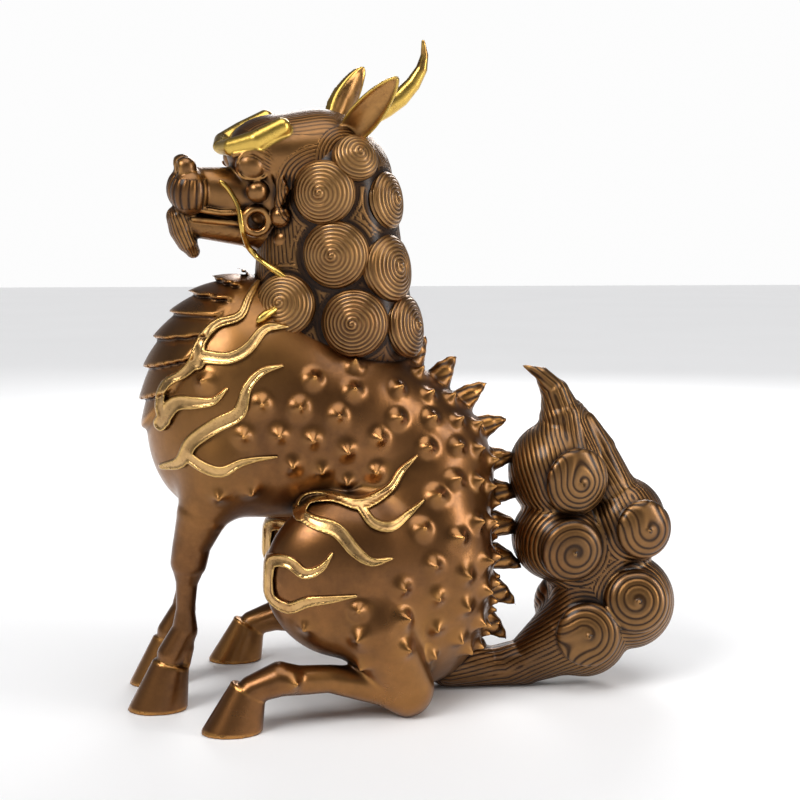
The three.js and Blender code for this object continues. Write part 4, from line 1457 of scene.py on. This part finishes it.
@dataclass(frozen=True)
class Tail:
    """Brush of the tail: it leaves the rump along the ground, swells into locks and ends in a flame-like tip."""

    cell: float = 0.78
    strand_pitch: float = 2.2
    locks: tuple[tuple[float, float, float], ...] = (
        (80, 101, 16),
        (77, 69.5, 15),
        (112, 78, 14),
        (86, 29, 15),
        (109, 44, 15),
    )
    sweeps: tuple[tuple[tuple[float, ...], ...], ...] = (
        ((80.2, 21, 101.5), (77, 17, 113), (75, 10, 130), (71, 5, 143), (59, 0, 153)),
        ((77.4, 21, 69.5),),
        ((112.5, 18, 78.3), (107, 14, 95), (97, 8, 112), (89, 4, 128)),
        ((84.8, 19, 28.9), (70, 15, 19), (50, 9, 8), (20, 9, 4)),
        ((108.6, 18, 44.3),),
    )

    def hair(self) -> Form:
        """The brush without its locks.

        Returns:
            The form.
        """
        stem = limb([(24, 0, 12, 12.4), (44, 0, 8.8, 9.4), (60, 0, 10.6, 11.2), (76, 0, 20, 17)])
        brush = blend(
            [
                egg((89, 0, 26.5), (22, 21, 23.5)),
                egg((83, 12, 36), (16, 12, 16)),
                egg((110.5, 0, 39), (22, 20, 23)),
                egg((75.5, 0, 71), (22, 23, 21)),
                egg((107.5, 0, 77.5), (20, 20, 22)),
                egg((93, 0, 56), (22, 17, 34)),
                egg((73.5, 0, 103), (22, 21, 24)),
            ],
            3.4,
        )
        tip = limb([(80, 0, 112, 15), (77, 0, 128, 11), (73.5, 0, 140, 7), (67, 0, 149, 3.6), (58.5, 0, 153, 0.8)])
        crest = limb([(98, 0, 98, 13), (95, 0, 113, 8), (88, 0, 126, 5.5), (84, 0, 133, 2.5)])
        hair = blend([stem, brush, tip, crest], 3)
        return lambda x, y, z: np.maximum(hair(x, y, z), -z)

    def clay(self) -> Clay:
        """The tail's samples, with a shallow dome and an eye for each lock.

        Returns:
            The samples.
        """
        hair = self.hair()
        clay = Clay(hair, (8, -31, -3), (136, 31, 157), self.cell, 4.0)
        for side in (-1, 1):
            for x, z, radius in self.locks:
                start = np.array([[x, side * 70.0, z]])
                seat, _ = strike(hair, start, np.array([[0.0, -side, 0.0]]), 90)
                outward = slope(hair, seat)[0]
                clay.add(self.dome(seat[0], outward, radius, 5.5), seat[0], radius + 6, 1.4)
                eye = seat[0] + outward * 5.2
                clay.add(limb([(*(eye - outward), 2.3), (*(eye + outward * 0.9), 0.9)]), eye, 6, 1.2)
        return clay

    @staticmethod
    def dome(centre: Array, outward: Array, radius: float, height: float) -> Form:
        """A low dome that stands square on the surface."""

        def distance(x: Array, y: Array, z: Array) -> Array:
            """Distance to the dome.

            Args:
                x: distances along X.
                y: distances along Y.
                z: heights.

            Returns:
                One distance a point, negative inside.
            """
            dx, dy, dz = x - centre[0], y - centre[1], z - centre[2]
            w = dx * outward[0] + dy * outward[1] + dz * outward[2]
            away = np.sqrt(np.maximum(dx * dx + dy * dy + dz * dz - w * w, 0))
            k0 = np.hypot(away / radius, w / height)
            k1 = np.hypot(away / radius**2, w / height**2)
            return k0 * (k0 - 1) / np.maximum(k1, 1e-9)

        return distance

    def strands(self, points: Array) -> Array:
        """Strand values of hair that winds round the nearest eye and follows the sweep that leaves it.

        Args:
            points: where it is wanted, one row a point.

        Returns:
            One strand value a point.
        """
        x, y, z = points[:, 0], np.abs(points[:, 1]), points[:, 2]
        best = np.full(len(points), np.inf)
        strand = np.zeros_like(points)
        for number, sweep in enumerate(self.sweeps):
            eye = sweep[0]
            path = sweep if len(sweep) > 1 else (eye, (eye[0], eye[1] - 1.0, eye[2]))
            away = limb([(*p, 0.0) for p in path])(x, y, z)
            turn = np.arctan2(z - eye[2], x - eye[0])
            handed = 1 if number % 2 else -1
            values = comb(away / self.strand_pitch - handed * turn / (2 * np.pi), 1.0)
            mine = away < best
            strand[mine] = values[mine]
            best = np.minimum(best, away)
        return strand

    def shell(self, clay: Clay, around: Sequence[Clay]) -> Shell:
        """The tail's mesh with its masks.

        Args:
            clay: the tail's samples.
            around: samples of everything near it, for the hollows.

        Returns:
            The mesh.
        """
        points, quads = clay.skin()
        facing = clay.facing(points)
        relief = read_relief(points, facing, clay, around)
        strand = self.strands(points)
        count = np.arctan2(strand[:, 1], strand[:, 0]) / (2 * np.pi)
        points = points - facing * ((1 - ridge(count)) * 0.3)[:, None]
        points[:, 2] = np.maximum(points[:, 2], 0)
        return Shell(points, quads, facing=facing, relief=relief, strand=strand, ground=np.zeros_like(points))


@dataclass(frozen=True)
class Flames:
    """Bands like tongues of flame that lie on the flesh, with a raised rim."""

    cell: float = 0.68
    rise: float = 1.1
    rim: float = 0.8

    def outline(self, x: Array, y: Array, z: Array) -> Array:
        """Distance to the bands' outline as seen from the side, negative inside.

        Args:
            x: distances along X.
            y: distances along Y.
            z: heights.

        Returns:
            One distance a point.
        """
        best = np.full(np.broadcast(x, z).shape, 20.0)
        for flame in FLAMES:
            curve = Curve([(a, h, b) for a, b, h in flame.path], 4).samples
            low, high = curve.min(axis=0) - 6, curve.max(axis=0) + 6
            here = (x > low[0]) & (x < high[0]) & (z > low[2]) & (z < high[2]) & (np.abs(y) > flame.least)
            px, pz = x[here], z[here]
            if not px.size:
                continue
            mine = np.full(px.shape, 20.0)
            for a, b in zip(curve, curve[1:]):
                ux, uz = b[0] - a[0], b[2] - a[2]
                t = np.clip(((px - a[0]) * ux + (pz - a[2]) * uz) / (ux * ux + uz * uz), 0, 1)
                away = np.hypot(px - a[0] - ux * t, pz - a[2] - uz * t) - (a[1] + (b[1] - a[1]) * t)
                mine = np.minimum(mine, away)
            best[here] = np.minimum(best[here], mine)
        return best

    def form(self, flesh: Clay) -> Form:
        """The bands as a field over the flesh."""

        def distance(x: Array, y: Array, z: Array) -> Array:
            """Distance to the bands.

            Args:
                x: distances along X.
                y: distances along Y.
                z: heights.

            Returns:
                One distance a point, negative inside.
            """
            depth = flesh.at(np.stack([x, y, z], axis=1))
            edge = self.outline(x, y, z)
            rise = self.rise + self.rim * np.exp(-(((edge + 0.75) / 0.5) ** 2))
            top = -melt(-(depth - rise), -edge * 0.95, 0.7)
            return np.maximum(top, -depth - 1.8)

        return distance

    def shell(self, flesh: Clay, side: int, around: Sequence[Clay]) -> Shell:
        """The bands on one side.

        Args:
            flesh: samples of what the bands lie on.
            side: 1 for the +Y side and -1 for the other.
            around: samples of everything near them, for the hollows.

        Returns:
            The mesh.
        """
        low, high = ((-114, -62, 48), (12, -4.5, 202)) if side < 0 else ((-114, 4.5, 48), (12, 62, 202))
        clay = Clay(self.form(flesh), low, high, self.cell, 1.2)
        points, quads = clay.skin()
        facing = clay.facing(points)
        depth = flesh.at(points)
        relief = read_relief(points, facing, clay, [*around, clay])
        edge = self.outline(points[:, 0], points[:, 1], points[:, 2])
        # the raised rim is lightened and turned towards gold: painted highlight, along with polished metal
        crest = np.exp(-(((edge + 0.7) / 0.5) ** 2)) * smoothstep(depth, 0.6, 1.2)
        relief[:, 0] = np.maximum(relief[:, 0], crest)
        relief[:, 2] = 0.35 * crest
        return Shell(points, quads, facing=facing, relief=relief)


@dataclass(frozen=True)
class Whisker:
    """A long barbel that hangs from the muzzle over the cheek and the mane."""

    path: tuple[tuple[float, float], ...] = (
        (-81.5, 237.5),
        (-79.0, 235.4),
        (-73.5, 226.3),
        (-71.9, 216.8),
        (-68.9, 208.0),
        (-63.3, 202.3),
        (-55.0, 196.2),
        (-51.5, 193.1),
        (-52.9, 187.3),
        (-57.8, 181.6),
        (-64.5, 177.6),
        (-68.5, 172.8),
    )
    thick: float = 1.35
    spokes: int = 14

    def route(self, side: int, around: Sequence[Clay]) -> Curve:
        """Lays the barbel on what is under it, on one side.

        Args:
            side: 1 for the +Y side and -1 for the other.
            around: samples of what it can lie on.

        Returns:
            The line that it follows.
        """
        spots = np.array([(x, -21.0, z) for x, z in self.path])
        if side > 0:
            mirrored = to_head(spots)
            mirrored[:, 1] *= -1
            spots = from_head(mirrored)
        flat = Curve(spots, 8)
        line = flat.at(np.linspace(0, 1, 90))
        start = line.copy()
        start[:, 1] = side * 45.0
        union: Form = lambda x, y, z: np.minimum.reduce([c.at(np.stack([x, y, z], axis=1)) for c in around])
        laid, met = strike(union, start, np.tile([0.0, -side, 0.0], (len(line), 1)), 45)
        out = np.where(met, laid[:, 1] * side, 0)
        wide = np.array([out[max(i - 5, 0) : i + 6].max() for i in range(len(out))])
        padded = np.pad(wide, 6, mode="edge")
        smooth = np.convolve(padded, np.ones(13) / 13, mode="valid")
        line[:, 1] = side * (np.maximum(smooth, out) + 0.7)
        return Curve(line[::5], 6)

    def shell(self, side: int, around: Sequence[Clay]) -> Shell:
        """The barbel's mesh on one side.

        Args:
            side: 1 for the +Y side and -1 for the other.
            around: samples of what it can lie on.

        Returns:
            The mesh.
        """
        curve = self.route(side, around)
        u = np.linspace(0, 1, 150)
        middle, run = curve.at(u), curve.run(u)
        across = np.cross(run, [0.0, 1.0, 0.0])
        across /= np.linalg.norm(across, axis=1, keepdims=True)
        outward = np.cross(across, run)
        swell = 0.8 + 0.35 * u + 0.25 * np.exp(-(((u - 0.93) / 0.05) ** 2))
        radius = self.thick * swell * np.sqrt(np.clip((1 - u) / 0.03, 0, 1)) * np.sqrt(np.clip(u / 0.02 + 0.1, 0, 1))
        turn = np.arange(self.spokes) * 2 * np.pi / self.spokes
        ring = across[:, None] * np.cos(turn)[None, :, None] + outward[:, None] * np.sin(turn)[None, :, None]
        points = (middle[:, None] + ring * np.maximum(radius, 0.05)[:, None, None]).reshape(-1, 3)
        number = np.arange(len(points)).reshape(len(u), self.spokes)
        after = np.roll(number, -1, axis=1)
        quads = np.stack([number[:-1], after[:-1], after[1:], number[1:]], axis=-1).reshape(-1, 4)
        ends = np.stack([middle[0], middle[-1]])
        first = np.stack([np.full(self.spokes, len(points)), after[0], number[0]], axis=1)
        last = np.stack([np.full(self.spokes, len(points) + 1), number[-1], after[-1]], axis=1)
        count = len(points) + 2
        # a slight lightening as painted highlight with worn patina, and mostly polished gold
        relief = np.tile([0.2, 0.0, 0.8], (count, 1))
        return Shell(np.vstack([points, ends]), quads, np.vstack([first, last]), relief=relief)


# Finishes


Value = object  # a socket that gives the value, or the value itself


class Graph:
    """Adds nodes to one node tree and wires them."""

    def __init__(self, tree: bpy.types.NodeTree) -> None:
        """Takes the tree to work in."""
        self.tree = tree

    def feed(self, socket: bpy.types.NodeSocket, value: Value) -> None:
        """Links a socket to another, or sets its value."""
        if isinstance(value, bpy.types.NodeSocket):
            self.tree.links.new(value, socket)
        else:
            socket.default_value = value

    def add(self, kind: str, feeds: dict[int | str, Value] | None = None, **settings: object) -> bpy.types.Node:
        """A new node with its settings and what feeds it.

        Args:
            kind: the node's type.
            feeds: what feeds its sockets, by name or number.
            settings: further values of the node.

        Returns:
            The node.
        """
        node = self.tree.nodes.new(kind)
        for key, value in settings.items():
            setattr(node, key, value)
        for key, value in (feeds or {}).items():
            self.feed(node.inputs[key], value)
        return node

    def math(self, operation: str, a: Value, b: Value = 0.0, clamp: bool = False) -> bpy.types.NodeSocket:
        """One arithmetic step."""
        return self.add("ShaderNodeMath", {0: a, 1: b}, operation=operation, use_clamp=clamp).outputs[0]

    def times(self, a: Value, b: Value) -> bpy.types.NodeSocket:
        """A product."""
        return self.math("MULTIPLY", a, b)

    def plus(self, a: Value, b: Value, clamp: bool = False) -> bpy.types.NodeSocket:
        """A sum."""
        return self.math("ADD", a, b, clamp)

    def mix(self, share: Value, a: Value, b: Value) -> bpy.types.NodeSocket:
        """Colour a where share is 0 and colour b where it is 1.

        Args:
            share: how much of b shows, from 0 to 1.
            a: the first colour.
            b: the second colour.

        Returns:
            The mixed colour.
        """
        node = self.add("ShaderNodeMix", data_type="RGBA", clamp_factor=True)
        self.feed(node.inputs[0], share)
        self.feed(node.inputs[6], a)
        self.feed(node.inputs[7], b)
        return node.outputs[2]

    def ease(self, value: Value, low: float, high: float, to: float = 1.0) -> bpy.types.NodeSocket:
        """An eased step from 0 at low to the value to at high.

        Args:
            value: what is eased.
            low: where the step starts.
            high: where it ends.
            to: the value at its end.

        Returns:
            The eased value.
        """
        node = self.add("ShaderNodeMapRange", {0: value, 1: low, 2: high, 3: 0.0, 4: to})
        node.interpolation_type = "SMOOTHSTEP"
        return node.outputs[0]

    def noise(self, where: Value, scale: float, detail: float = 2.0, rough: float = 0.5) -> bpy.types.NodeSocket:
        """Noise from 0 to 1."""
        feeds = {"Vector": where, "Scale": scale, "Detail": detail, "Roughness": rough}
        return self.add("ShaderNodeTexNoise", feeds).outputs[0]

    def split(self, vector: Value) -> list[bpy.types.NodeSocket]:
        """The three parts of a vector."""
        return list(self.add("ShaderNodeSeparateXYZ", {0: vector}).outputs)

    def mask(self, name: str) -> bpy.types.NodeSocket:
        """A vector stored on the mesh."""
        return self.add("ShaderNodeAttribute", attribute_name=name).outputs["Vector"]


class SharedEffect(Enum):
    """Effects that several finishes share, each a node group."""

    STRANDS = "strand ridges"
    # brown patina, with painted shade in the hollows and painted highlight on edges
    PATINA_AND_PAINTED_LIGHT = "patina, painted shade and highlight"
    TOOLING = "hand tooling"

    def group(self) -> bpy.types.NodeTree:
        """The node group, built when it is first asked for.

        Returns:
            The node group.
        """
        known = bpy.data.node_groups.get(self.value)
        if known:
            return known
        tree = bpy.data.node_groups.new(self.value, "ShaderNodeTree")
        {
            SharedEffect.STRANDS: fill_strands,
            SharedEffect.PATINA_AND_PAINTED_LIGHT: fill_patina_and_painted_light,
            SharedEffect.TOOLING: fill_tooling,
        }[self](tree)
        return tree


def sockets(tree: bpy.types.NodeTree, takes: dict[str, str], gives: dict[str, str]) -> tuple[bpy.types.Node, bpy.types.Node]:
    """Gives a node group its named inputs and outputs.

    Args:
        tree: the group.
        takes: inputs by name, each with its kind.
        gives: outputs by name, each with its kind.

    Returns:
        The group's input node and its output node.
    """
    for way, named in (("INPUT", takes), ("OUTPUT", gives)):
        for name, kind in named.items():
            tree.interface.new_socket(name=name, in_out=way, socket_type=f"NodeSocket{kind}")
    return tree.nodes.new("NodeGroupInput"), tree.nodes.new("NodeGroupOutput")


def fill_strands(tree: bpy.types.NodeTree) -> None:
    """Strands of hair: rounded crests with a sharp groove between them.

    Args:
        tree: the group that it is built in.
    """
    start, end = sockets(tree, {"Strand": "Vector", "Height": "Float"}, {"Height": "Float", "Groove": "Float"})
    g = Graph(tree)
    cosine, sine, depth = g.split(start.outputs["Strand"])
    length = g.math("SQRT", g.plus(g.times(cosine, cosine), g.plus(g.times(sine, sine), 1e-6)))
    level = g.math("MULTIPLY_ADD", g.math("DIVIDE", cosine, length), 0.5)
    level.node.inputs[2].default_value = 0.5
    crest = g.math("POWER", g.math("MAXIMUM", level, 0.0), 0.38)
    tree.links.new(g.times(g.times(crest, depth), start.outputs["Height"]), end.inputs["Height"])
    groove = g.times(g.math("SUBTRACT", 1.0, crest), g.math("MINIMUM", depth, 1.0))
    tree.links.new(groove, end.inputs["Groove"])


def fill_patina_and_painted_light(tree: bpy.types.NodeTree) -> None:
    """Brown patina with painted light: darker in the hollows and grooves as painted shade along with darker patina,
    lighter on edges, crests and proud spots as painted highlight along with worn patina, uneven all over, gold where it
    is polished.

    Args:
        tree: the group that it is built in.
    """
    takes = {
        "Brown": "Color",
        "Dark Patina and Shade": "Color",
        "Rubbed and Highlight": "Color",
        "Gold": "Color",
        "Relief": "Vector",
        "Proud": "Float",
        "Groove": "Float",
        "Wear and Highlight": "Float",
        "Gloss": "Float",
    }
    start, end = sockets(tree, takes, {"Color": "Color", "Roughness": "Float"})
    g = Graph(tree)
    where = g.add("ShaderNodeTexCoord").outputs["Object"]
    sharp, deep, polished = g.split(start.outputs["Relief"])
    broad = g.noise(where, 22.0, 3.0, 0.55)
    fine = g.noise(where, 190.0, 4.0, 0.65)
    uneven = g.ease(g.plus(g.times(broad, 0.65), g.times(fine, 0.35)), 0.34, 0.66)
    tone = g.mix(g.times(uneven, 0.5), start.outputs["Brown"], start.outputs["Dark Patina and Shade"])
    warm = g.ease(g.noise(where, 9.0, 2.0, 0.5), 0.42, 0.62, 0.28)
    tone = g.mix(warm, tone, start.outputs["Rubbed and Highlight"])
    # edges, crests and proud spots turn lighter: painted highlight, along with patina worn through there
    proud = g.times(start.outputs["Proud"], g.plus(g.times(fine, 0.6), 0.35))
    rub_and_highlight = g.times(g.plus(g.ease(sharp, 0.12, 0.62), proud, True), start.outputs["Wear and Highlight"])
    tone = g.mix(g.times(rub_and_highlight, g.ease(fine, 0.2, 0.62)), tone, start.outputs["Rubbed and Highlight"])
    # grooves between strands turn darker: painted shade, along with darker patina
    tone = g.mix(g.times(g.ease(start.outputs["Groove"], 0.1, 0.75), 0.85), tone, start.outputs["Dark Patina and Shade"])
    # hollows and the gaps between parts turn near-black: painted shade, along with darker patina
    tone = g.mix(g.ease(deep, 0.1, 0.7, 0.93), tone, start.outputs["Dark Patina and Shade"])
    gold = g.times(polished, g.ease(g.plus(g.times(broad, 0.5), g.times(fine, 0.5)), 0.3, 0.52))
    tone = g.mix(gold, tone, start.outputs["Gold"])
    tree.links.new(tone, end.inputs["Color"])
    rough = g.plus(start.outputs["Gloss"], g.times(g.math("SUBTRACT", uneven, 0.5), 0.16))
    rough = g.plus(rough, g.times(g.math("MAXIMUM", deep, start.outputs["Groove"]), 0.22))
    rough = g.math("SUBTRACT", rough, g.times(g.math("MAXIMUM", rub_and_highlight, gold), 0.07), True)
    tree.links.new(rough, end.inputs["Roughness"])


def fill_tooling(tree: bpy.types.NodeTree) -> None:
    """Small unevenness of a casting that was filed and brushed by hand, with punched ground where it is coarse.

    Args:
        tree: the group that it is built in.
    """
    takes = {"Coarse": "Float", "Brush Height": "Float", "Punch Height": "Float"}
    start, end = sockets(tree, takes, {"Height": "Float"})
    g = Graph(tree)
    where = g.add("ShaderNodeTexCoord").outputs["Object"]
    waves = g.times(g.noise(where, 120.0, 3.0, 0.6), 3.0)
    stretched = g.add("ShaderNodeMapping", {"Vector": where, "Scale": (900.0, 900.0, 160.0)}).outputs[0]
    brushed = g.noise(stretched, 1.0, 2.0, 0.6)
    pitted = g.noise(where, 1100.0, 2.0, 0.6)
    base = g.times(g.plus(g.plus(brushed, pitted), waves), start.outputs["Brush Height"])
    cells = g.add("ShaderNodeTexVoronoi", {"Vector": where, "Scale": 800.0}, feature="SMOOTH_F1").outputs["Distance"]
    punched = g.times(g.times(cells, start.outputs["Coarse"]), start.outputs["Punch Height"])
    tree.links.new(g.plus(base, punched), end.inputs["Height"])


@dataclass(frozen=True)
class Brass:
    """Cast brass under a brown patina, with painted shade in its hollows and painted highlight on its edges."""

    name: str
    brown: tuple[float, float, float]
    # dark colour of patina in the hollows, also used as painted shade in hollows, grooves and between parts
    hollow: tuple[float, float, float]
    # light colour of worn patina, also used as painted highlight on edges, crests and proud spots
    rubbed_and_highlight: tuple[float, float, float]
    gold: tuple[float, float, float] = (0.72, 0.47, 0.09)
    gloss: float = 0.33  # roughness where the patina is even
    # how strongly edges and proud spots are lightened, as worn patina and painted highlight
    wear_and_highlight: float = 0.8
    lacquer: float = 0.35
    strand_height: float = 0.00042
    brush_height: float = 0.000022
    punch_height: float = 0.00025

    def material(self) -> bpy.types.Material:
        """The material, made when it is first asked for.

        Returns:
            The material.
        """
        known = bpy.data.materials.get(self.name)
        if known:
            return known
        material = bpy.data.materials.new(self.name)
        material.use_nodes = True
        shader = material.node_tree.nodes["Principled BSDF"]
        shader.inputs["Metallic"].default_value = 1.0
        shader.inputs["Coat Weight"].default_value = self.lacquer
        shader.inputs["Coat Roughness"].default_value = 0.22
        g = Graph(material.node_tree)
        relief, strand = g.mask("relief"), g.mask("strand")
        proud, coarse, _ = g.split(g.mask("ground"))
        ridges = g.add(
            "ShaderNodeGroup", {}, node_tree=SharedEffect.STRANDS.group()
        )
        g.feed(ridges.inputs["Strand"], strand)
        g.feed(ridges.inputs["Height"], self.strand_height)
        patina = g.add("ShaderNodeGroup", {}, node_tree=SharedEffect.PATINA_AND_PAINTED_LIGHT.group())
        for key, value in (
            ("Brown", (*self.brown, 1)),
            ("Dark Patina and Shade", (*self.hollow, 1)),
            ("Rubbed and Highlight", (*self.rubbed_and_highlight, 1)),
            ("Gold", (*self.gold, 1)),
            ("Relief", relief),
            ("Proud", proud),
            ("Groove", ridges.outputs["Groove"]),
            ("Wear and Highlight", self.wear_and_highlight),
            ("Gloss", self.gloss),
        ):
            g.feed(patina.inputs[key], value)
        tooling = g.add("ShaderNodeGroup", {}, node_tree=SharedEffect.TOOLING.group())
        g.feed(tooling.inputs["Coarse"], coarse)
        g.feed(tooling.inputs["Brush Height"], self.brush_height)
        g.feed(tooling.inputs["Punch Height"], self.punch_height)
        height = g.plus(ridges.outputs["Height"], tooling.outputs["Height"])
        bump = g.add("ShaderNodeBump", {"Height": height, "Distance": 1.0, "Strength": 1.0})
        g.feed(shader.inputs["Base Color"], patina.outputs["Color"])
        g.feed(shader.inputs["Roughness"], patina.outputs["Roughness"])
        g.feed(shader.inputs["Normal"], bump.outputs["Normal"])
        return material


class Finish(Enum):
    """The finishes of this figure."""

    # each finish lists brown, then its dark colour (dark patina and painted shade), then its light colour (worn patina
    # and painted highlight)
    FLESH = Brass("patinated brass, flesh", (0.24, 0.1, 0.028), (0.03, 0.011, 0.004), (0.55, 0.26, 0.065))
    HAIR = Brass("patinated brass, hair", (0.2, 0.09, 0.03), (0.018, 0.007, 0.003), (0.5, 0.27, 0.09), gloss=0.36)
    FACE = Brass("patinated brass, face", (0.22, 0.095, 0.03), (0.025, 0.01, 0.004), (0.52, 0.26, 0.075))
    FLAME = Brass("patinated brass, flames", (0.42, 0.21, 0.07), (0.06, 0.025, 0.01), (0.75, 0.46, 0.18), gloss=0.3)
    WHISKER = Brass("polished brass, whiskers", (0.5, 0.27, 0.07), (0.1, 0.04, 0.015), (0.75, 0.5, 0.15), gloss=0.27)


@dataclass(frozen=True)
class Studio:
    """Pale floor, soft lights and the camera."""

    azimuth: float = -6.0
    elevation: float = 6.5
    distance: float = 0.645
    aim: Point = (-0.0019, 0.0, 0.1376)
    lens: float = 62.37

    def camera(self) -> None:
        """A camera at the photograph's viewing angle."""
        a, e = math.radians(self.azimuth), math.radians(self.elevation)
        towards = Vector((math.sin(a) * math.cos(e), -math.cos(a) * math.cos(e), math.sin(e)))
        data = bpy.data.cameras.new("camera")
        data.lens = self.lens
        data.sensor_width = 36.0
        data.clip_end = 50.0
        camera = bpy.data.objects.new("camera", data)
        camera.location = Vector(self.aim) + towards * self.distance
        camera.rotation_euler = (-towards).to_track_quat("-Z", "Y").to_euler()
        bpy.context.scene.collection.objects.link(camera)
        bpy.context.scene.camera = camera

    def floor(self) -> None:
        """A wide pale floor with a faint unevenness."""
        mesh = bpy.data.meshes.new("floor")
        half = 6.0
        mesh.from_pydata([(-half, -half, 0), (half, -half, 0), (half, half, 0), (-half, half, 0)], [], [(0, 1, 2, 3)])
        floor = bpy.data.objects.new("floor", mesh)
        bpy.context.scene.collection.objects.link(floor)
        material = bpy.data.materials.new("pale floor")
        material.use_nodes = True
        g = Graph(material.node_tree)
        shader = material.node_tree.nodes["Principled BSDF"]
        where = g.add("ShaderNodeTexCoord").outputs["Object"]
        tone = g.mix(g.noise(where, 3.0), (0.88, 0.88, 0.88, 1), (0.92, 0.92, 0.92, 1))
        g.feed(shader.inputs["Base Color"], tone)
        shader.inputs["Roughness"].default_value = 0.7
        mesh.materials.append(material)
        floor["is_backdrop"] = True

    def lamp(self, name: str, place: Point, size: tuple[float, float], power: float) -> None:
        """A soft box that faces the figure.

        Args:
            name: the lamp's name.
            place: where it stands, in metres.
            size: its width and height.
            power: its power in watts.
        """
        data = bpy.data.lights.new(name, "AREA")
        data.shape = "RECTANGLE"
        data.size, data.size_y = size
        data.energy = power
        lamp = bpy.data.objects.new(name, data)
        lamp.location = place
        lamp.rotation_euler = (Vector((0, 0, 0.13)) - Vector(place)).to_track_quat("-Z", "Y").to_euler()
        bpy.context.scene.collection.objects.link(lamp)

    def glow(self, name: str, azimuth: float, elevation: float, spread: float, power: float) -> None:
        """A very large, very far soft box, which lights the floor evenly.

        Args:
            name: the lamp's name.
            azimuth: the side that it shines from, in degrees.
            elevation: how high it stands, in degrees.
            spread: how wide it looks, in degrees.
            power: its strength.
        """
        data = bpy.data.lights.new(name, "SUN")
        data.energy = power
        data.angle = math.radians(spread)
        lamp = bpy.data.objects.new(name, data)
        a, e = math.radians(azimuth), math.radians(elevation)
        towards = Vector((math.sin(a) * math.cos(e), -math.cos(a) * math.cos(e), math.sin(e)))
        lamp.rotation_euler = towards.to_track_quat("Z", "Y").to_euler()
        bpy.context.scene.collection.objects.link(lamp)

    def light(self) -> None:
        """Soft boxes around the figure, and a grey room that reads white behind it."""
        self.glow("key", -48, 42, 26, 1.5)
        self.glow("top", 20, 74, 50, 1.5)
        self.lamp("right", (1.1, -0.5, 0.5), (0.3, 0.9), 6)
        self.lamp("back", (0.3, 1.2, 0.8), (0.8, 0.5), 8)
        world = bpy.data.worlds.new("room")
        world.use_nodes = True
        g = Graph(world.node_tree)
        room = world.node_tree.nodes["Background"]
        up = g.split(g.add("ShaderNodeTexCoord").outputs["Generated"])[2]
        tone = g.mix(g.ease(up, -0.1, 0.5), (0.5, 0.5, 0.5, 1), (0.1, 0.1, 0.11, 1))
        seen = g.add("ShaderNodeLightPath").outputs["Is Camera Ray"]
        g.feed(room.inputs["Color"], g.mix(seen, tone, (0.98, 0.98, 0.98, 1)))
        bpy.context.scene.world = world
        bpy.context.scene.view_settings.view_transform = "Standard"

    def build(self) -> None:
        """Sets the stage."""
        self.camera()
        self.floor()
        self.light()


def main() -> None:
    """Builds the figure and its setting, piece by piece."""
    logging.basicConfig(level=logging.INFO, format="%(relativeCreated)d %(name)s: %(message)s")
    model_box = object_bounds()
    Studio().build()
    body, head, mane, tail = Body(), Head(), Mane(), Tail()
    body_clay, flesh_clay = body.clay()
    log.info("body ready")
    head_clay = head.clay()
    log.info("head ready")
    neck_clay = Clay(mane.neck(), (-82, -38, 128), (16, 38, 268), mane.cell, 4.0)
    tail_clay = tail.clay()
    log.info("tail ready")
    clays = [body_clay, head_clay, neck_clay, tail_clay]
    locks = mane.seats()
    flesh = body.shell(body_clay, flesh_clay, clays)
    for name, side in (("body_near_side", -1), ("body_far_side", 1)):
        flesh.side(side).place(name, Finish.FLESH.value)
    head.shell(head_clay, clays, [lock for lock in locks if lock.seat[2] > 225]).place("head", Finish.FACE.value)
    mane.shell(neck_clay, clays, locks).place("mane_hair", Finish.HAIR.value)
    for name, side in (("mane_locks_near", -1), ("mane_locks_far", 1)):
        combine([lock.shell() for lock in locks if lock.side == side]).place(name, Finish.HAIR.value)
    tail.shell(tail_clay, clays).place("tail", Finish.HAIR.value)
    for name, side in (("flames_near", -1), ("flames_far", 1)):
        Flames().shell(flesh_clay, side, clays).place(name, Finish.FLAME.value)
    whiskers = [Whisker().shell(side, clays) for side in (-1, 1)]
    combine(whiskers).place("whiskers", Finish.WHISKER.value)
    boxes = {"model": model_box, "visual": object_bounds()}
    sizes = {key: [[float(v) for v in corner] for corner in box] for key, box in boxes.items()}
    log.info("model %s, visual %s", sizes["model"], sizes["visual"])


if __name__ == "__main__":
    main()
